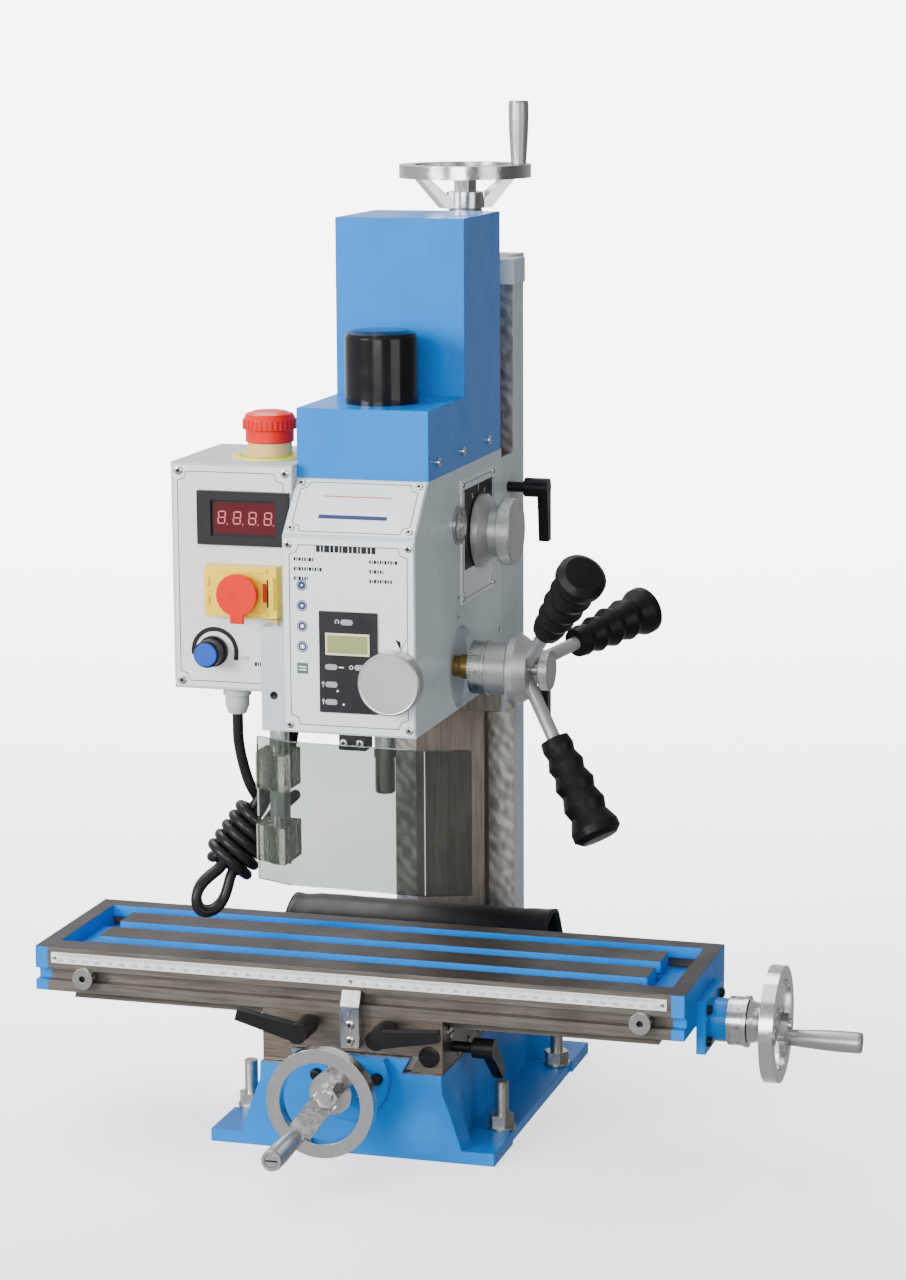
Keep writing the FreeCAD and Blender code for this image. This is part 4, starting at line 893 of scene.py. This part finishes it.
def right_side():
    ink = Piece("side_marks", "ink", "head")
    heads = Piece("side_screws", "chrome", "head")
    # Black patches on the screw heads are painted shade in their sockets, slots and crosses.
    socket_shades = Piece("side_screw_socket_shades", "ink", "head")
    plate = frame_at((SIDE_PLATE, 30.0, 439.5), RIGHT)
    ink.path(notched(84, 87, 6), 0.5, PRINT, plate, True)
    panel = Piece("selector_panel", "black", "head")
    panel.box((-38, -22, 0), (38, 39, 0.04), plate)
    ticks = Piece("selector_ticks", "white", "head")
    for y in (-11.8, 71.8):
        for z in (396.2, 482.8):
            screw(heads, socket_shades, (SIDE_PLATE - 0.05, y, z), RIGHT, 2.3, 1.2)
    for angle in (-30, 0, 30):
        mark = plate @ shift(0, 3, 0) @ Matrix.Rotation(math.radians(angle), 4, "Z")
        ticks.prism([(-0.5, 31), (0.5, 31), (0.5, 35.5), (-0.5, 35.5)], 0.08, mark)
    for z in (400, 385):
        screw(heads, socket_shades, (HEAD_SIDE + 0.02, -24, z), RIGHT, 2.6, 0.9, "slot")
    for y in (-75, -10, 60):
        screw(heads, socket_shades, (HEAD_SIDE, y, 508), RIGHT, 3.4, 2.6, "cross")
    sight = Piece("sight_glass_ring", "bright", "head")
    where = frame_at((HEAD_SIDE, -23.5, 454.5), RIGHT)
    sight.lathe([(8.6, 0), (14.8, 0), (14.8, 2.2), (13.4, 3.2), (9.4, 3.2), (8.6, 1.2)], where)
    glass = Piece("sight_glass_lens", "glass", "head")
    glass.lathe([(0, 1.4), (8.8, 1.0), (8.8, 0.2), (0, 0.2)], where)
    ink.arc(4.6, 0.7, 0, 360, 0.06, where @ shift(0, 0, 1.3))
    dial = Piece("feed_dial_marks", "ink", "feed")
    ring_marks(dial, (60.0, FEED_Y, FEED_Z), RIGHT, 20.02, 50, 9.4)
    numbers_round(dial, (66.6, FEED_Y, FEED_Z), RIGHT, 20.03, 10, 4)
    knurl = Piece("selector_knurl", "knob", "selector_knob")
    ridges(knurl, (72.0, SELECTOR_Y, SELECTOR_Z), RIGHT, 25.0, 90, 8.0, 0.35)
    spot = Piece("selector_arrow", "ink", "selector_knob")
    arrow = frame_at((57.1, SELECTOR_Y, SELECTOR_Z), RIGHT)
    spot.prism([(-26.5, 0), (-19.5, -4.5), (-19.5, 4.5)], 0.1, arrow)
    lock = Piece("feed_lock_knurl", "knob", "feed_lock_knob")
    ridges(lock, (113.4, FEED_Y, FEED_Z), RIGHT, 15.0, 64, 6.0, 0.3)
    fine = Piece("fine_feed_ring", "knob", "fine_feed_knob")
    fine.lathe([(20.6, 13.35), (21.9, 13.7), (22.4, 13.3), (22.4, 12.9)],
               frame_at((34.2, -135.6, 356.5), FRONT), 64)
    make_all(panel, ticks, ink, heads, socket_shades, sight, glass, dial, knurl, spot, lock, fine)


def turns(base, count):
    """The base matrix turned about its own z by equal steps, once round."""
    return [base @ Matrix.Rotation(2 * math.pi * i / count, 4, "Z") for i in range(count)]


def ring_marks(piece, origin, axis, radius, count, width):
    """Graduations round a dial, every fifth one longer."""
    for i, turn in enumerate(turns(frame_at(origin, axis), count)):
        length = width * (0.62 if i % 10 == 0 else 0.48 if i % 5 == 0 else 0.32)
        piece.box((radius - 0.1, -0.12, 0), (radius + 0.03, 0.12, length), turn)


def numbers_round(piece, origin, axis, radius, count, step):
    """Numbers round a dial, one every step."""
    outward = shift(radius, 0, 0) @ Matrix.Rotation(math.pi / 2, 4, "Y")
    for i, turn in enumerate(turns(frame_at(origin, axis), count)):
        piece.text(str(i * step), 3.0, turn @ outward)


def ridges(piece, origin, axis, radius, count, length, high):
    """Straight knurl round a knob."""
    width = math.pi * radius / count
    tooth = [(radius - 0.2, -width / 2), (radius + high, 0), (radius - 0.2, width / 2)]
    for turn in turns(frame_at(origin, axis), count):
        piece.prism(tooth, length, turn)


COVER_LINE = [(3.0, 84), (5.6, 99), (8.0, 110.5), (13.2, 122.2), (23.0, 133.8), (36.4, 140.8),
              (49.8, 142.3), (59.3, 139.0), (66.0, 131.4), (72.1, 121.2), (79.5, 113.0), (89.4, 108.9)]


def way_cover():
    """Thin rubber sheet draped from the upright over the ways to the saddle, with small waves."""
    line = smooth_line([Vector((0, y, z)) for y, z in COVER_LINE], 6)
    count, half = 52, 106.0
    points, faces = [], []
    for i, at in enumerate(line):
        ahead, behind = line[min(i + 1, len(line) - 1)], line[max(i - 1, 0)]
        along = (ahead - behind).normalized()
        out = Vector((1, 0, 0)).cross(along)
        share = i / (len(line) - 1)
        for k in range(count + 1):
            x = -half + 2 * half * k / count
            free = math.sin(math.pi * share) * abs(x / half) ** 3
            wave = 0.9 * free * math.sin(x * 0.11 + share * 5.0) + 0.5 * free * math.sin(x * 0.29 + 1.3)
            where = at + out * wave
            points.append((x, where.y, where.z))
    row = count + 1
    for i in range(len(line) - 1):
        faces += [(i * row + k, i * row + k + 1, (i + 1) * row + k + 1, (i + 1) * row + k)
                  for k in range(count)]
    piece = Piece("way_cover_sheet", "cover", "frame", 60)
    piece.add(points, faces)
    obj = piece.make()
    thick = obj.modifiers.new("thickness", "SOLIDIFY")
    thick.thickness = 1.6 * MM
    thick.offset = 0
    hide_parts("way_cover")


def smooth_line(points, steps):
    """Catmull-Rom line through the points."""
    ends = [points[0] * 2 - points[1]] + points + [points[-1] * 2 - points[-2]]
    line = []
    for a, b, c, d in zip(ends, ends[1:], ends[2:], ends[3:]):
        for i in range(steps):
            t = i / steps
            line.append(0.5 * (2 * b + (c - a) * t + (2 * a - 5 * b + 4 * c - d) * t ** 2
                               + (3 * b - a - 3 * c + d) * t ** 3))
    return line + [points[-1]]


# ---- table, saddle and wheels

def table_details():
    strip = Piece("rule_plate", "rule", "table")
    plane = frame_on_front(TABLE_FRONT)
    strip.box((-237, 127.3, 0), (237, 135.7, 0.55), plane)
    ink = Piece("rule_marks", "ink", "table")
    inked = frame_on_front(TABLE_FRONT - 0.55)
    for i in range(-230, 231):
        high = 3.6 if i % 10 == 0 else 2.9 if i % 5 == 0 else 2.1
        ink.box((i - 0.11, 135.2 - high, 0), (i + 0.11, 135.2, PRINT), inked)
        if i % 10 == 0:
            ink.text(str(abs(i)), 3.3, inked @ shift(i, 129.6, 0))
    rivets = Piece("rule_rivets", "chrome", "table")
    # Black bars on the rivet heads are painted shade in their slots.
    hole_shades = Piece("rule_rivet_slot_shades", "ink", "table")
    for x in (-234, 0.0, 234):
        screw(rivets, hole_shades, (x, TABLE_FRONT - 0.55, 131.5), FRONT, 1.7, 0.7, "slot")
    # Black hex discs on the travel stops are painted shade in their sockets.
    stops = Piece("travel_stop_socket_shades", "ink", "table")
    for x in (-209.7, 218.8):
        stops.disc(2.5, 0.3, frame_at((x, -141.6, 118), FRONT), 6)
    make_all(strip, ink, rivets, hole_shades, stops)


def saddle_details():
    heads = Piece("saddle_screws", "bright", "saddle")
    # Black patches on the screw heads are painted shade in their slots.
    socket_shades = Piece("saddle_screw_slot_shades", "ink", "saddle")
    gib_screw = Piece("gib_screw", "lever", "saddle")
    screw(gib_screw, socket_shades, (59.2, -136.1, 77.5), FRONT, 8.0, 1.4, "slot")
    screw(heads, socket_shades, (SADDLE_SIDE, -116.3, 91.5), RIGHT, 6.0, 1.2, "slot")
    for z in (88, 100):
        screw(heads, socket_shades, (1.5, -146.0, z), FRONT, 3.6, 1.2)
    for y in (-95, -67, -39, -12):
        screw(heads, socket_shades, (SADDLE_SIDE, y, 71), RIGHT, 3.0, 1.6)
    bolts = Piece("flange_screws", "lever", "frame")
    # Black discs on the flange screws are painted shade in their sockets.
    hole_shades = Piece("flange_screw_socket_shades", "ink", "frame")
    for x in (-23.2, 23.2):
        screw(bolts, hole_shades, (x, -149.5, 62), FRONT, 4.6, 4.6)
    plates = Piece("bracket_bolts", "lever", "table")
    # Black discs on the bracket bolts are painted shade in their sockets.
    dark = Piece("bracket_bolt_socket_shades", "ink", "table")
    for z in (92, 116):
        for y in (-90, -45):
            screw(plates, dark, (BRACKET_FACE, y, z), RIGHT, 3.8, 3.2)
    make_all(gib_screw, heads, socket_shades, bolts, hole_shades, plates, dark)


def screw_threads():
    """Thread crests of the bench studs."""
    crests = Piece("stud_threads", "zinc", "frame", 60)
    root, crest, pitch, first, count = 4.85, 5.22, 1.5, 21.0, 16
    profile = []
    for z in (first + pitch * i for i in range(count)):
        profile += [(root, z), (crest, z + 0.55), (root, z + 1.1)]
    for x in (-STUD_X, STUD_X):
        for y in (-STUD_Y, STUD_Y):
            crests.lathe(profile, shift(x, y, 0), 24)
    crests.make()


def dials():
    """Graduations on the dials behind the three handwheels."""
    x_ink = Piece("x_dial_marks", "ink", "x_wheel")
    ring_marks(x_ink, (269.4, X_SCREW_Y, X_SCREW_Z), RIGHT, 18.02, 80, 9.5)
    numbers_round(x_ink, (277.5, X_SCREW_Y, X_SCREW_Z), RIGHT, 18.03, 8, 10)
    y_ink = Piece("y_dial_marks", "ink", "y_wheel")
    ring_marks(y_ink, (0, -150.2, Y_SCREW_Z), FRONT, 15.82, 80, 11)
    numbers_round(y_ink, (0, -160.5, Y_SCREW_Z), FRONT, 15.83, 8, 10)
    z_ink = Piece("z_dial_marks", "ink", "z_wheel")
    ring_marks(z_ink, (0, Z_SCREW_Y, 649), UP, 19.02, 80, 12)
    make_all(x_ink, y_ink, z_ink)


def grip_slots():
    """Screwdriver slot in the pin at the end of each grip, drawn as a thin black bar of painted shade."""
    places = (("x_wheel", (360.85, -36.7, 83.2), RIGHT), ("y_wheel", (-19, -263.85, 34), FRONT),
              ("z_wheel", (43.8, Z_SCREW_Y, 760.65), UP))
    for body, origin, axis in places:
        slot = Piece(body + "_pin_slot_shade", "ink", body)
        slot.box((-4.4, -0.6, 0), (4.4, 0.6, 0.15), frame_at(origin, axis))
        slot.make()


# ---- mains lead

CORD = 8.0
HANK_TOP, HANK_FOOT = Vector((-84, -84, 242)), Vector((-113, -104, 197))
LEAD_IN = [(-101, -92.5, 317.6), (-101, -92.5, 309), (-101, -92.5, 300), (-100, -92, 290),
           (-98, -91, 279), (-95.5, -89.5, 268), (-92.5, -87.5, 259)]
LEAD_OUT = [(-80, -70.5, 256), (-76, -65, 264), (-73, -60.5, 273)]
LEAD_OUT += [(PLUG_X, PLUG_Y, z) for z in (282, 293, 304)]


def hank_points():
    """Two long loops tied by turns of the lead, from the top of the hank and back to its top."""
    down = (HANK_FOOT - HANK_TOP).normalized()
    side = down.cross(Vector((0, 0, 1))).normalized()
    depth = down.cross(side)

    def at(s, radius, angle, tangent=0.0):
        a = math.radians(angle)
        out = side * math.cos(a) + depth * math.sin(a)
        across = depth * math.cos(a) - side * math.sin(a)
        return HANK_TOP + down * s + out * radius + across * tangent

    points = []
    bulge = [(0, -5), (9, -8.5), (19, -11), (28, -9), (33, -4), (34, 0), (33, 4), (28, 9), (19, 11),
             (9, 8.5), (0, 5)]
    for k in range(5):
        angle = 72.0 * k
        along = [-2, 10, 22, 34, 46]
        order = along if k % 2 == 0 else along[::-1]
        points += [at(s, 8.5, angle) for s in order]
        if k < 4 and k % 2 == 0:
            points += [at(54 + s, 8.6 + 0.16 * s, angle + 36, t) for s, t in bulge]
        elif k < 4:
            points += [at(-9 - s * 0.42, 8.6 + 0.10 * s, angle + 36, t * 0.8) for s, t in bulge]
    points += [at(50.5, 10.5, 300), at(51.5, 14, 318)]
    wraps, steps = 5, 16
    for i in range(wraps * steps + 1):
        points.append(at(50.0 - 8.8 * i / steps, 17.4, 338 + 360 * i / steps))
    points += [at(3.5, 18.5, 338 + 380), at(-3, 20, 338 + 386), at(-9, 20, 338 + 388)]
    return points


def mains_lead():
    route = [Vector(p) for p in LEAD_IN] + hank_points() + [Vector(p) for p in LEAD_OUT]
    curve = bpy.data.curves.new("mains_lead", "CURVE")
    curve.dimensions = "3D"
    curve.bevel_depth = CORD / 2 * MM
    curve.bevel_resolution = 5
    curve.resolution_u = 5
    curve.use_fill_caps = True
    spline = curve.splines.new("NURBS")
    spline.points.add(len(route) - 1)
    for point, where in zip(spline.points, route):
        point.co = (*(where * MM), 1)
    spline.order_u = 3
    spline.use_endpoint_u = True
    curve.materials.append(M["cord"])
    lead = bpy.data.objects.new("mains_lead", curve)
    link(lead)
    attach(lead, "head")
    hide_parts("mains_cord", "cord_hank")
    return lead, route


def lead_length(route):
    """Length of the smooth line that the route's points pull towards themselves."""
    stops = [route[0]] + [(a + b) / 2 for a, b in zip(route[1:-2], route[2:-1])] + [route[-1]]
    total, steps = 0.0, 12
    for start, pull, end in zip(stops, route[1:-1], stops[1:]):
        line = [start * (1 - t) ** 2 + pull * 2 * t * (1 - t) + end * t ** 2
                for t in (i / steps for i in range(steps + 1))]
        total += sum((b - a).length for a, b in zip(line, line[1:]))
    return total * MM


def plug_relief():
    """Tapered rubber sleeve where the lead enters its plug."""
    relief = Piece("plug_strain_relief", "rubber", "head", 60)
    profile = [(4.05, 281.5), (4.6, 281), (5.0, 283), (4.9, 284.5), (5.4, 286), (5.3, 288), (5.9, 289.5),
               (5.8, 291.5), (6.4, 293), (6.3, 295), (7.0, 296.5), (7.0, 304.2), (4.05, 304.2)]
    relief.lathe(profile, shift(PLUG_X, PLUG_Y, 0), 32)
    return relief.make()


# ---- build

make_camera()
make_light()
make_floor()
dress_cad()
lead, route = mains_lead()
relief = plug_relief()
round(lead_length(route), 3)
way_cover()
head_front()
depth_readout()
control_front()
emergency_stop()
right_side()
table_details()
saddle_details()
screw_threads()
dials()
grip_slots()

last_low, last_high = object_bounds()
({"first": [list(first_low), list(first_high)], "last": [list(last_low), list(last_high)],
           "lead_m": lead_length(route)})
